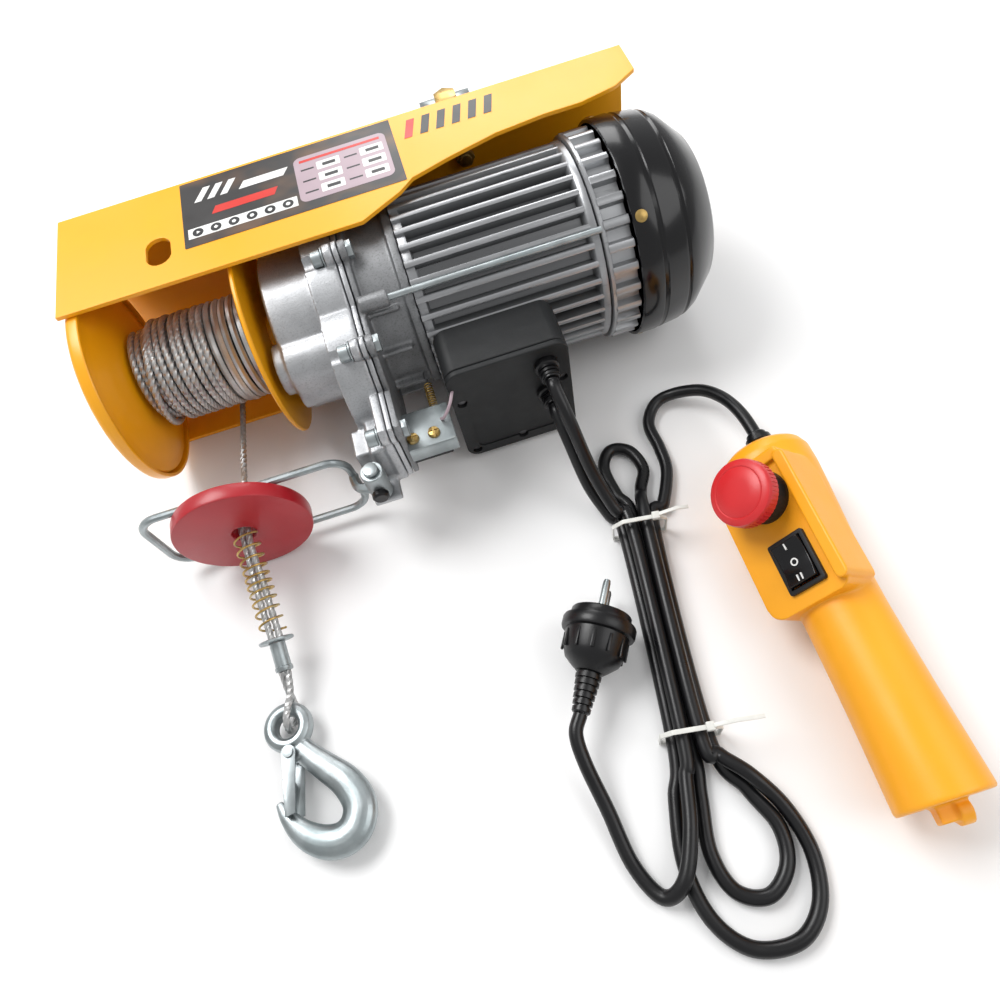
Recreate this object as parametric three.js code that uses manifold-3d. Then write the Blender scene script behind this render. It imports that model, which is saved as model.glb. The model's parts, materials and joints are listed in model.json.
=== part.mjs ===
// Electric wire rope hoist lying on its back plate, millimetres, +Z up.
// +X runs from the rope drum to the fan cover, +Y towards the mounting web of the channel frame.
import * as THREE from 'three';
import { mergeVertices } from 'three/addons/utils/BufferGeometryUtils.js';
import Module from 'manifold-3d';

const wasm = await Module();
wasm.setup();

// Driving dimensions
const WIDTH = 150;            // channel frame across its two plates
const SHEET = 3;              // frame sheet
const AXIS_Z = WIDTH / 2;     // drum and motor centre line, at y = 0
const FRAME_X = [10, 411];    // channel ends
const WEB_Y = 87;             // outer face of the web
const SEAT = [208, 40];       // centre of the back plate, the model's origin
const GAP = 0.3;              // clearance between touching pieces
const SLOT = [79, 27];        // fixing slot in both plates, left of the label
const ROPE_R = 2.25;
const PACK_R = 36.5;          // outside of the wound rope
const END_X = 11.5;           // outer face of the pressed end plate
const COUNTER_Y = -48;        // countershaft centre line, at the height of the drum axis
const MOTOR_R = 67;           // over the cooling ribs
const CORD_R = 4.25;
const PENDANT = [412, 31];    // pendant axis, x and z, along Y
const GRIP_X = 408.5;         // axis of the pendant's grip
const ROPE_X = 72.6;          // hook fall
const DISC_Y = -120;          // upper face of the limit disc
const DISC_Z = 46;
const LOOP_Y = -116;          // plane of the wire loop
const HUB = [168, -132];      // pivot of the limit lever, along Z
const EYE = [72.6, -255, 12];
const TIE_LIFT = 1.4;         // tie band under the cords

const group = new THREE.Group();
group.position.set(-SEAT[0], -SEAT[1], 0);

// ---------------------------------------------------------------- solids
function solid(source) {
  const plain = source.clone();
  plain.deleteAttribute('normal');
  plain.deleteAttribute('uv');
  const merged = mergeVertices(plain, 1e-3);
  const position = merged.attributes.position;
  const index = merged.index.array;
  const corners = [];
  let volume = 0;
  const [a, b, c] = [new THREE.Vector3(), new THREE.Vector3(), new THREE.Vector3()];
  for (let i = 0; i < index.length; i += 3) {
    const [p, q, r] = [index[i], index[i + 1], index[i + 2]];
    if (p === q || q === r || r === p) continue;
    a.fromBufferAttribute(position, p);
    b.fromBufferAttribute(position, q);
    c.fromBufferAttribute(position, r);
    volume += a.dot(b.clone().cross(c));
    corners.push(p, q, r);
  }
  if (volume < 0) corners.reverse();
  return new wasm.Manifold(new wasm.Mesh({
    numProp: 3,
    vertProperties: Float32Array.from(position.array),
    triVerts: Uint32Array.from(corners),
  }));
}

const join = (first, ...rest) => rest.reduce((sum, piece) => sum.add(piece), first);
const cut = (first, ...rest) => rest.reduce((sum, piece) => sum.subtract(piece), first);

function moved(piece, matrix) {
  return piece.transform(matrix.elements);
}

const at = (x, y, z) => new THREE.Matrix4().makeTranslation(x, y, z);

// Axis frames: a shape's own X, Y and Z become the directions listed
const AXES = {
  x: new THREE.Matrix4().makeBasis(
    new THREE.Vector3(0, 1, 0), new THREE.Vector3(0, 0, 1), new THREE.Vector3(1, 0, 0)),
  y: new THREE.Matrix4().makeBasis(
    new THREE.Vector3(0, 0, 1), new THREE.Vector3(1, 0, 0), new THREE.Vector3(0, 1, 0)),
  z: new THREE.Matrix4(),
};

function box(x0, x1, y0, y1, z0, z1) {
  const shape = new THREE.BoxGeometry(x1 - x0, y1 - y0, z1 - z0);
  shape.translate((x0 + x1) / 2, (y0 + y1) / 2, (z0 + z1) / 2);
  return solid(shape);
}

// Turned piece: profile of [radius, distance along the axis], closed loop
function turned(axis, profile, centre, sides = 32) {
  const points = [...profile, profile[0]].map(([r, s]) => new THREE.Vector2(r, s));
  const lathe = new THREE.LatheGeometry(points, sides);
  lathe.rotateX(Math.PI / 2);
  lathe.applyMatrix4(AXES[axis]);
  lathe.translate(...centre);
  return solid(lathe);
}

// Round bar along an axis from one distance to another
function bar(axis, radius, from, to, centre, sides = 20) {
  const rod = new THREE.CylinderGeometry(radius, radius, to - from, sides);
  rod.rotateX(Math.PI / 2);
  rod.translate(0, 0, (from + to) / 2);
  rod.applyMatrix4(AXES[axis]);
  rod.translate(...centre);
  return solid(rod);
}

// Bar between two points, placed by its ends
function strut(start, end, radius, sides = 12) {
  const [p, q] = [new THREE.Vector3(...start), new THREE.Vector3(...end)];
  const rod = new THREE.CylinderGeometry(radius, radius, p.distanceTo(q), sides);
  const turn = new THREE.Quaternion().setFromUnitVectors(
    new THREE.Vector3(0, 1, 0), q.clone().sub(p).normalize());
  rod.applyQuaternion(turn);
  rod.translate(...p.add(q).multiplyScalar(0.5).toArray());
  return solid(rod);
}

// Flat piece: outline of [u, v] points, extruded along an axis
function plate(axis, outline, from, to, bevel = 0) {
  const shape = new THREE.Shape(outline.map(([u, v]) => new THREE.Vector2(u, v)));
  const slab = new THREE.ExtrudeGeometry(shape, {
    depth: to - from - 2 * bevel, bevelEnabled: bevel > 0, bevelSize: bevel,
    bevelThickness: bevel, bevelOffset: -bevel, bevelSegments: 1, curveSegments: 8,
  });
  slab.translate(0, 0, from + bevel);
  slab.applyMatrix4(AXES[axis]);
  return solid(slab);
}

// Wire, rope or cord along a smooth line through points
function wire(points, radius, sides, steps, tension = 0.5) {
  const line = new THREE.CatmullRomCurve3(points.map((p) => new THREE.Vector3(...p)),
    false, 'catmullrom', tension);
  const section = new THREE.Shape();
  for (let i = 0; i < sides; i += 1) {
    const angle = (i * 2 * Math.PI) / sides;
    const [u, v] = [radius * Math.cos(angle), radius * Math.sin(angle)];
    if (i === 0) section.moveTo(u, v);
    else section.lineTo(u, v);
  }
  return solid(new THREE.ExtrudeGeometry(section, { steps, extrudePath: line }));
}

function add(name, piece, look) {
  const mesh = piece.getMesh();
  const geometry = new THREE.BufferGeometry();
  geometry.setAttribute('position', new THREE.BufferAttribute(mesh.vertProperties, 3));
  geometry.setIndex(new THREE.BufferAttribute(mesh.triVerts, 1));
  geometry.computeVertexNormals();
  const [color, roughness, metalness] = look;
  const part = new THREE.Mesh(geometry,
    new THREE.MeshStandardMaterial({ color, roughness, metalness }));
  part.name = name;
  group.add(part);
}

// Looks: colour, roughness, metalness
const YELLOW = [0xfdb830, 0.4, 0];
const ORANGE = [0xffb028, 0.5, 0];
const RED = [0xb02634, 0.35, 0];
const BUTTON_RED = [0xde4244, 0.4, 0];
const ALUMINIUM = [0xb9bbbe, 0.4, 0.9];
const STEEL = [0xa5afaf, 0.35, 0.9];
const ZINC = [0xbea05a, 0.4, 0.9];
const ROPE = [0x969491, 0.45, 0.8];
const BLACK = [0x343638, 0.6, 0];
const GLOSS_BLACK = [0x19191b, 0.25, 0];
const RUBBER = [0x151517, 0.5, 0];
const COPPER = [0xb87333, 0.4, 0.8];
const IRON = [0x55585c, 0.5, 0.8];
const WHITE = [0xdcdcd7, 0.5, 0];

// ---------------------------------------------------------------- frame
const LOWER_EDGE = [[10, -4], [211, -4], [239, 12], [249, 21], [274, 29], [309, 38], [343, 41.5],
  [369, 41.5], [394, 47], [411, 58]];
const cheek = [...LOWER_EDGE, [411, WEB_Y - SHEET], [10, WEB_Y - SHEET]];
const SLOT_R = 8.5;
const slot = Array.from({ length: 16 }, (_, i) => {
  const angle = ((i + 0.5) * Math.PI) / 8;
  const half = Math.sign(Math.sin(angle)) * 4;
  return [SLOT[0] + SLOT_R * Math.cos(angle), SLOT[1] + half + SLOT_R * Math.sin(angle)];
});
const BRACKET_X = [272, 310];
const BRACKET_Z = [30, 120];
const SPARE_X = 96;            // free pair of holes for a second bracket
const screwPlaces = [42, 108].map((z) => [291, z]);
add('channel_frame', cut(
  join(plate('z', cheek, 0, SHEET), plate('z', cheek, WIDTH - SHEET, WIDTH),
    box(...FRAME_X, WEB_Y - SHEET - 0.5, WEB_Y, 0, WIDTH)),
  plate('z', slot, -1, WIDTH + 1),
  ...screwPlaces.map(([x, z]) => bar('y', 4.4, 80, 90, [x, 0, z], 12)),
  ...screwPlaces.map(([, z]) => bar('y', 4.4, 80, 90, [SPARE_X, 0, z], 12))), YELLOW);

add('end_plate', turned('x', [[12.4, 0], [68, 0], [71.4, 3.4], [71.4, 10], [68.8, 10], [68.8, 5.2],
  [66.6, 3], [12.4, 3]], [END_X, 0, AXIS_Z], 32), YELLOW);
add('bearing_bush', turned('x', [[8.3, -4], [15, -4], [15, -0.3], [12, -0.3], [12, 7], [8.3, 7]],
  [END_X, 0, AXIS_Z], 16), STEEL);

const bracketBase = WEB_Y + GAP;
add('beam_bracket', cut(
  join(box(...BRACKET_X, bracketBase, bracketBase + 4, ...BRACKET_Z),
    box(...BRACKET_X, bracketBase + 3, 138, BRACKET_Z[0], BRACKET_Z[0] + 4),
    box(...BRACKET_X, bracketBase + 3, 138, BRACKET_Z[1] - 4, BRACKET_Z[1])),
  ...screwPlaces.map(([x, z]) => bar('y', 4.4, 80, 95, [x, 0, z], 12)),
  bar('z', 5.4, 20, 130, [291, 128, 0], 14)), STEEL);
add('beam_bolt', join(bar('z', 5, 20, 126.5, [291, 128, 0], 14),
  bar('z', 9, 120.4, 126.8, [291, 128, 0], 6), bar('z', 9, 21.5, 29.6, [291, 128, 0], 6)), ZINC);
screwPlaces.forEach(([x, z], i) => {
  add(`bracket_screw_${i + 1}`, join(bar('y', 4, 76, 94, [x, 0, z], 12),
    bar('y', 7, bracketBase + 4.3, bracketBase + 9, [x, 0, z], 6),
    bar('y', 7, 77, WEB_Y - SHEET - 0.8, [x, 0, z], 6)), ZINC);
});

// ---------------------------------------------------------------- drum
const DRUM = [0, 0, AXIS_Z];
add('drum', turned('x', [[10.4, 26], [16, 26], [44, 23], [62, 17], [67, 17], [67, 19.5],
  [63, 19.5], [45, 26], [20, 29], [20, 119.5], [68.5, 119.5], [68.5, 122.5], [16, 122.5],
  [16, 130], [10.4, 130]], DRUM, 28), YELLOW);
add('rope_winding', turned('x', [[20.3, 30], [36, 37], [PACK_R, 41], [PACK_R, 119.1],
  [20.3, 119.1]], DRUM, 28), ROPE);
add('drum_shaft', turned('x', [[0, 9.5], [8, 9.5], [8, 20], [10, 21], [10, 164], [0, 164]], DRUM, 20),
  STEEL);

// ---------------------------------------------------------------- gears
// Tooth half angle at a radius, for a 20 degree involute with backlash
function toothHalfAngle(radius, module, teeth) {
  const involute = (a) => Math.tan(a) - a;
  const pitch = (module * teeth) / 2;
  const base = pitch * Math.cos(Math.PI / 9);
  const here = radius > base ? involute(Math.acos(base / radius)) : 0;
  return (0.88 * Math.PI) / (2 * teeth) + involute(Math.PI / 9) - here;
}

function gear(module, teeth, bore, from, to, centre, offset) {
  const pitch = (module * teeth) / 2;
  const radii = [pitch - 1.25 * module, pitch, pitch + 0.9 * module];
  const outline = [];
  for (let i = 0; i < teeth; i += 1) {
    const middle = ((i + offset) * 2 * Math.PI) / teeth;
    const flank = teeth > 20 ? [radii[0], radii[2]] : radii;
    const half = flank.map((r) => toothHalfAngle(r, module, teeth));
    flank.forEach((r, k) => outline.push([r, middle - half[k]]));
    flank.forEach((r, k) => {
      const j = flank.length - 1 - k;
      outline.push([flank[j], middle + half[j]]);
    });
  }
  const wheel = plate('x', outline.map(([r, a]) => [r * Math.cos(a), r * Math.sin(a)]), from, to);
  const placed = moved(wheel, at(...centre));
  return bore ? cut(placed, bar('x', bore, from - 1, to + 1, centre, 20)) : placed;
}

const COUNTER = [0, COUNTER_Y, AXIS_Z];
add('output_gear', gear(2, 39, 10.3, 142, 154, DRUM, 0), IRON);
add('countershaft', join(bar('x', 5, 137.6, 188, COUNTER, 16),
  gear(2, 9, 0, 140, 156, COUNTER, 0)), STEEL);
add('counter_gear', gear(1.5, 54, 5.3, 170, 180, COUNTER, 0.5), IRON);
add('rotor_shaft', join(gear(1.5, 10, 0, 168, 184, DRUM, 0),
  turned('x', [[0, 183.8], [5.5, 183.8], [6.5, 200], [7.7, 200], [7.7, 402], [0, 402]], DRUM, 20)), STEEL);

// ---------------------------------------------------------------- gear case
const BOSS = [0, -45.6, 89.6]; // housing of the countershaft's bearing
const boltPlaces = [[-14, 141], [-76, 120], [-121, 90]];
const lobe = (radius, from, to) => join(
  bar('x', radius, from, to, DRUM, 32),
  bar('x', radius - 17, from, to, COUNTER, 24));
const boltLugs = (from, to) => join(...boltPlaces.map(([y, z]) => bar('x', 7, from, to, [0, y, z], 14)),
  box(from, to, -126, -95, 44, 98));
const boltHoles = boltPlaces.map(([y, z]) => bar('x', 3.4, 150, 240, [0, y, z], 10));
add('gear_case', cut(
  join(bar('x', 55, 134, 168, DRUM, 32), bar('x', 17, 134, 168, COUNTER, 20),
    bar('x', 17, 127.5, 136, BOSS, 20), bar('x', 19.5, 134, 168, BOSS, 20),
    lobe(66, 166, 189), boltLugs(181, 189), box(170, 189, -124, -95, 40, 78),
    box(160, 180, -139, -122, 40, 44.5)),
  bar('x', 50, 137, 170, DRUM, 24), bar('x', 13, 139.5, 170, COUNTER, 16),
  bar('x', 5.3, 137.3, 141, COUNTER, 16), lobe(62, 169, 190),
  bar('x', 10.4, 130, 140, DRUM, 20), box(169, 190, -60, -40, 60, 90),
  bar('z', 3.3, 39, 46, [...HUB, 0], 12), ...boltHoles,
  ...boltPlaces.map(([y, z]) => bar('x', 6.2, 150, 181, [0, y, z], 12))), ALUMINIUM);
add('motor_shield', cut(
  join(lobe(66, 189.3, 194), boltLugs(189.3, 194), bar('x', 61, 193, 227, DRUM, 28),
    bar('x', 5.5, 190, 212, [0, -48, 126], 14)),
  bar('x', 56, 197, 230, DRUM, 24), bar('x', 8, 180, 200, DRUM, 20),
  bar('x', 5.3, 180, 192, COUNTER, 14), bar('x', 2.5, 211, 240, [0, -48, 126], 12),
  ...boltHoles), ALUMINIUM);
boltPlaces.forEach(([y, z], i) => {
  add(`case_bolt_${i + 1}`, join(bar('x', 3, 174, 197, [0, y, z], 10),
    bar('x', 5.5, 173, 180.7, [0, y, z], 12), bar('x', 5.5, 194.3, 199, [0, y, z], 6)), STEEL);
});

// ---------------------------------------------------------------- motor
function ribbedOutline(ribs, base, tip, share) {
  const outline = [];
  for (let i = 0; i < ribs; i += 1) {
    const step = (2 * Math.PI) / ribs;
    const [a, b] = [(i - share / 2) * step, (i + share / 2) * step];
    outline.push([base, a], [tip, a + 0.01], [tip, b - 0.01], [base, b]);
  }
  return outline.map(([r, t]) => [r * Math.cos(t), AXIS_Z + r * Math.sin(t)]);
}

const tieRodHole = bar('x', 3, 225, 380, [0, -48, 126], 12);
add('motor_body', cut(plate('x', ribbedOutline(32, 60, MOTOR_R, 0.36), 227.3, 350),
  bar('x', 54, 226, 351, DRUM, 28), tieRodHole), ALUMINIUM);
add('rear_shield', cut(plate('x', ribbedOutline(30, 66, 71, 0.5), 350.3, 370),
  bar('x', 54, 349, 364, DRUM, 24), bar('x', 8, 360, 372, DRUM, 20),
  bar('x', 3, 345, 352, [0, -48, 126], 12)), ALUMINIUM);
add('tie_rod', bar('x', 2.2, 212, 351.5, [0, -48, 126], 10), STEEL);
add('stator', turned('x', [[34, 250], [36, 250], [36, 232], [50, 232], [50, 250], [53.6, 250],
  [53.6, 330], [50, 330], [50, 346], [36, 346], [36, 330], [34, 330]], DRUM, 20), COPPER);
add('rotor_core', turned('x', [[8, 250], [33.4, 250], [33.4, 330], [8, 330]], DRUM, 20), IRON);

const blade = box(384, 404, 14, 60, AXIS_Z - 1, AXIS_Z + 1);
const fanBlades = Array.from({ length: 8 }, (_, i) => moved(blade, at(0, 0, AXIS_Z)
  .multiply(new THREE.Matrix4().makeRotationX((i * Math.PI) / 4)).multiply(at(0, 0, -AXIS_Z))));
add('fan', cut(join(turned('x', [[6, 380], [15, 380], [15, 383], [60, 383], [60, 385.5],
  [15, 385.5], [15, 402], [6, 402]], DRUM, 16), ...fanBlades),
bar('x', 8, 370, 410, DRUM, 20)), BLACK);
const ventBar = (i) => moved(box(420, 440, 20, 44, AXIS_Z - 2.5, AXIS_Z + 2.5), at(0, 0, AXIS_Z)
  .multiply(new THREE.Matrix4().makeRotationX((i * Math.PI) / 4)).multiply(at(0, 0, -AXIS_Z)));
add('fan_cover', cut(turned('x', [[72, 370.3], [74.5, 370.3], [74.5, 386], [73, 389], [71.5, 404],
  [68, 410], [50, 429], [0, 429], [0, 426.5], [49, 426.5], [66, 408], [69, 403], [71, 387]],
DRUM, 36), ...Array.from({ length: 8 }, (_, i) => ventBar(i))), GLOSS_BLACK);

// ---------------------------------------------------------------- control box
const BOX_X = [229, 310];
const rounded = (x0, x1, z0, z1, r) => [[0, -1], [1, 0], [2, 1], [3, 2]].flatMap(([q]) => {
  const centre = [[x1 - r, z1 - r], [x0 + r, z1 - r], [x0 + r, z0 + r], [x1 - r, z0 + r]][q];
  return [0, 0.5, 1].map((s) => {
    const angle = ((q + s) * Math.PI) / 2;
    return [centre[0] + r * Math.cos(angle), centre[1] + r * Math.sin(angle)];
  });
});
const boxShape = (inset, from, to) => plate('y',
  rounded(BOX_X[0] + inset, BOX_X[1] - inset, 5 + inset, 99 - inset, 9 - inset)
    .map(([x, z]) => [z, x]), from, to);
const motorClear = bar('x', MOTOR_R + GAP, 200, 330, DRUM, 48);
const GLANDS = [[294, 82], [293, 55]];
add('control_box', cut(boxShape(0, -96.3, -60), motorClear, boxShape(3, -97, -75)), BLACK);
add('box_lid', cut(boxShape(0, -101, -96.6),
  ...GLANDS.map(([x, z]) => bar('y', 5.5, -105, -90, [x, 0, z], 16))), BLACK);
add('capacitor', bar('x', 9, 238, 284, [0, -86, 26], 20), WHITE);
GLANDS.forEach(([x, z], i) => {
  add(`gland_${i + 1}`, join(turned('y', [[0, -94], [5.2, -94], [5.2, -101.5], [8, -101.5],
    [8, -106], [6.5, -107], [6, -114], [0, -114]], [x, 0, z], 20)), RUBBER);
});

// ---------------------------------------------------------------- limit switch and lever
add('switch_bracket', join(box(194.3, 226, -127, -98, 71, 73), box(194.3, 226, -127, -125, 60, 73)), STEEL);
add('limit_switch', box(195, 221, -124.7, -108, 54, 70.7), BLACK);

function coil(start, end, radius, wireRadius, turns, perTurn, sides) {
  const [p, q] = [new THREE.Vector3(...start), new THREE.Vector3(...end)];
  const along = q.clone().sub(p).normalize();
  const side = new THREE.Vector3(0, 0, 1).cross(along).normalize();
  const other = along.clone().cross(side);
  const points = [];
  for (let i = 0; i <= turns * perTurn; i += 1) {
    const angle = (i * 2 * Math.PI) / perTurn;
    points.push(p.clone().lerp(q, i / (turns * perTurn))
      .addScaledVector(side, radius * Math.cos(angle))
      .addScaledVector(other, radius * Math.sin(angle)).toArray());
  }
  return wire(points, wireRadius, sides, turns * perTurn);
}

add('return_spring', bar('y', 3, -104, -74, [217, 0, 66], 12), ZINC);

const LOOP_X = [12, 152];
const LOOP_Z = [12, 72];
const CORNER = 14;
const arcs = [[LOOP_X[1] - CORNER, LOOP_Z[0] + CORNER, -90, 0],
  [LOOP_X[0] + CORNER, LOOP_Z[0] + CORNER, -180, -90],
  [LOOP_X[0] + CORNER, LOOP_Z[1] - CORNER, -270, -180],
  [LOOP_X[1] - CORNER, LOOP_Z[1] - CORNER, -360, -270]];
const loopPoints = [[LOOP_X[1], LOOP_Y, 36]];
arcs.forEach(([x, z, low, high]) => [1, 0.66, 0.33, 0].forEach((s) => {
  const angle = ((low + s * (high - low)) * Math.PI) / 180;
  loopPoints.push([x + CORNER * Math.cos(angle), LOOP_Y, z + CORNER * Math.sin(angle)]);
}));
loopPoints.push([LOOP_X[1], LOOP_Y, 50]);
const hubPin = bar('z', 3.4, 40, 80, [...HUB, 0], 14);
add('limit_lever', cut(join(wire(loopPoints, 2.75, 8, 44), bar('z', 7.5, 46, 72, [...HUB, 0], 20),
  box(149.5, 159.5, -137, -113.5, 47, 57), box(149.5, 154.5, -119, -113.5, 34, 57),
  box(155, 164, -137, -127, 47, 57)), hubPin), STEEL);
add('lever_pin', join(bar('z', 3, 38, 75, [...HUB, 0], 12),
  bar('z', 5, 72.3, 75.5, [...HUB, 0], 12)), STEEL);
add('lever_bumper', bar('y', 5.5, -144, HUB[1] - 7.8, [HUB[0], 0, 56], 14), RUBBER);

// ---------------------------------------------------------------- rope, disc, hook
const WASHER = [77.5, -203, 27];
const FERRULE_END = [78.1, -222, 20.7];
const chain = (s) => [ROPE_X, DISC_Y - 11, DISC_Z].map((v, i) => v + s * (WASHER[i] - v));
const ropeStart = [80, -3.3, 36];
const aside = (p, dx) => [p[0] + dx, p[1], p[2]];
add('rope_fall', wire([ropeStart, [ROPE_X + 2.7, DISC_Y, DISC_Z], aside(chain(0.5), 2.7),
  aside(WASHER, 2.7)], ROPE_R, 8, 10), ROPE);
add('rope_tail', wire([[ROPE_X - 8, DISC_Y + 10, DISC_Z], [ROPE_X - 2.7, DISC_Y, DISC_Z],
  aside(chain(0.5), -2.7), aside(WASHER, -2.7)], ROPE_R, 8, 8), ROPE);
add('limit_disc', turned('y', [[8, DISC_Y - 11], [43, DISC_Y - 11], [45, DISC_Y - 9], [45, DISC_Y - 2],
  [43, DISC_Y], [8, DISC_Y]], [ROPE_X, 0, DISC_Z], 36), RED);
const along = (t) => WASHER.map((v, i) => v + t * (FERRULE_END[i] - v));
add('stop_spring', coil(chain(0.045), chain(0.94), 7.8, 0.7, 9, 7, 5), ZINC);
add('stop_washer', cut(strut(along(-0.03), along(0.02), 10.5, 24), strut(along(-0.1), along(0.08), 5.4, 14)),
  ZINC);
add('rope_ferrule', join(strut(along(0.06), along(0.98), 4.7, 16),
  strut(along(0.86), along(0.98), 5.4, 16)), IRON);
const [ex, ey, ez] = EYE;
add('rope_loop', wire([[80.3, -223.6, 20.4], [79.6, -236, 20.5], [77.6, -244, 21.8], [75.5, -250, 21.4],
  [74, -255, 18.5], [73.4, -257.4, 12], [73.8, -255, 5.4], [75, -248.5, 2.9], [75.6, -241, 3.4],
  [75.6, -236.5, 6.2], [75.6, -231, 13.5], [75.6, -223.6, 19.6]], ROPE_R, 8, 28), ROPE);

const hookLine = new THREE.CatmullRomCurve3([[86, -263], [89, -272], [100, -280], [113, -292],
  [119, -309], [114, -325], [99, -335], [81, -336], [64, -328], [53, -313], [51, -300], [55, -292],
  [61, -297], [66, -309], [75, -317], [87, -318], [96, -312], [99, -302], [95, -292], [84, -285],
  [71, -281], [62, -275], [59, -265]].map(([x, y]) => new THREE.Vector3(x, y, 0)), true);
const hookOutline = hookLine.getSpacedPoints(38).slice(0, -1).map((p) => [p.x, p.y]);
const LATCH = [73, -272];
add('hook', cut(join(plate('z', hookOutline, ez - 7, ez + 7, 2.5),
  turned('z', [[0, ez - 5.5], [13, ez - 5.5], [15.5, ez - 3], [15.5, ez + 3], [13, ez + 5.5], [0, ez + 5.5]],
    [ex, ey, 0], 24)),
bar('z', 7, 0, 20, [ex, ey, 0], 20), bar('z', 2.5, 0, 20, [...LATCH, 0], 10)), STEEL);
const latchEar = (z) => join(plate('z', [[-4.4, 0], [4.4, 0], [1.5, -35], [-3.4, -36]], z, z + 1.1),
  bar('z', 4.5, z, z + 1.1, [0, 0, 0], 14));
add('hook_latch', moved(cut(join(latchEar(ez - 8.4), latchEar(ez + 7.3),
  box(-4.5, -3, -36, -14.5, ez - 8.4, ez + 8.4)), bar('z', 2.4, 0, 20, [0, 0, 0], 10)),
at(...LATCH, 0).multiply(new THREE.Matrix4().makeRotationZ(-0.06))), STEEL);
add('latch_pin', bar('z', 2, 0.6, 18.6, [...LATCH, 0], 10), STEEL);

// ---------------------------------------------------------------- pendant
const [px, pz] = PENDANT;
const DIAGONAL = at(px, 0, pz).multiply(new THREE.Matrix4().makeRotationY(-Math.PI / 4));
const tilted = (piece) => moved(piece, DIAGONAL);
const ESTOP_Y = -222;
const ROCKER_Y = -266;
const PANEL = 31;
add('pendant_shell', cut(join(
  turned('y', [[0, -402], [24.4, -402], [25.9, -400], [24, -345], [23.2, -300], [23.2, -284],
    [28.6, -204], [28.4, -192], [23, -184], [0, -182]], [GRIP_X, 0, pz], 24),
  tilted(box(-24, 24, -291, -198, 0, PANEL)),
  tilted(box(17.5, 25, -284, -202, 0, PANEL + 5)),
  box(GRIP_X - 8, GRIP_X + 2, -411, -401, pz - 4.5, pz + 4.5),
  bar('x', 7, GRIP_X + 1.5, GRIP_X + 9, [0, -407, pz], 16)),
bar('x', 3, GRIP_X - 2, GRIP_X + 12, [0, -408, pz], 12),
tilted(box(-19, 19, -286, -203, -14, PANEL - 3)),
tilted(bar('z', 10.4, 0, 40, [0, ESTOP_Y, 0], 20)),
tilted(box(-10, 10, ROCKER_Y - 14, ROCKER_Y + 14, 0, 40)),
bar('y', CORD_R + GAP, -204, -178, [px, 0, pz], 12)), ORANGE);
add('estop_collar', tilted(turned('z', [[10.4, PANEL + GAP], [16, PANEL + GAP], [14.5, PANEL + 10],
  [10.4, PANEL + 10]], [0, ESTOP_Y, 0], 24)), BLACK);
add('estop_button', tilted(turned('z', [[0, 12], [9.8, 12], [9.8, PANEL + 16], [19, PANEL + 16],
  [20, PANEL + 17],
  [20, PANEL + 24.5], [18.5, PANEL + 26.5], [0, PANEL + 28]], [0, ESTOP_Y, 0], 22)), BUTTON_RED);
add('rocker_bezel', tilted(cut(box(-12, 12, ROCKER_Y - 16, ROCKER_Y + 16, PANEL + GAP, PANEL + 2.5),
  box(-9.7, 9.7, ROCKER_Y - 13.6, ROCKER_Y + 13.6, PANEL, PANEL + 5))), BLACK);
add('rocker', tilted(plate('x', [[ROCKER_Y - 8, PANEL - 7], [ROCKER_Y + 8, PANEL - 7],
  [ROCKER_Y + 12.8, PANEL + 2.5], [ROCKER_Y + 12.5, PANEL + 6], [ROCKER_Y, PANEL + 3],
  [ROCKER_Y - 12.5, PANEL + 6], [ROCKER_Y - 12.8, PANEL + 2.5]], -9.2, 9.2)), GLOSS_BLACK);
add('pendant_gland', cut(turned('y', [[0, -181.7], [10.5, -181.7], [10.5, -178.5], [8.5, -176],
  [7, -168], [0, -168]], [px, 0, pz], 20), bar('y', CORD_R + GAP, -190, -160, [px, 0, pz], 12)), RUBBER);

// ---------------------------------------------------------------- cords and plug
const LOW = CORD_R + 0.35;
const HIGH = LOW + 8.4;
const TIE_1 = [322, -197];
const TIE_2 = [303.5, -330];
const run = new THREE.Vector2(TIE_2[0] - TIE_1[0], TIE_2[1] - TIE_1[1]).normalize();
const across = (tie, offset, height) => [tie[0] - run.y * offset, tie[1] + run.x * offset, height];
const rising = (offset, height) => [TIE_2, TIE_1].map((tie) => across(tie, offset, height + TIE_LIFT));
const falling = (offset, height) => rising(offset, height).reverse();
const controlCord = [
  [GLANDS[1][0], -115, GLANDS[1][1]], [GLANDS[1][0], -122, GLANDS[1][1] - 1], [295, -138, 44],
  [300, -160, 18], [308, -180, LOW],
  ...falling(-9.9, LOW),
  [283, -360, LOW], [275.5, -392, LOW], [279, -420, LOW], [294, -438, LOW], [318, -441, LOW],
  [335, -428, LOW], [342, -405, LOW], [338, -380, LOW + 1], [326, -360, HIGH], [314, -345, HIGH],
  ...rising(5, HIGH),
  [333, -170, LOW + 2], [341, -153, LOW], [337, -136, LOW], [325, -131, LOW], [316, -143, LOW],
  [317, -165, LOW], ...falling(0, LOW),
  [297, -362, LOW], [291, -390, LOW], [296, -411, LOW], [312, -418, LOW], [327, -407, LOW],
  [331, -388, LOW], [323, -366, LOW], ...rising(9.9, LOW),
  [344, -183, LOW], [355.5, -160, LOW], [357.5, -141, LOW], [357.5, -120, LOW], [367.5, -106, LOW + 1.5],
  [381, -104.5, 9.5], [397, -113.8, 18], [406, -129, 25], [410.5, -147, 29.5], [px, -168, pz],
  [px, -195, pz]];
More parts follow.
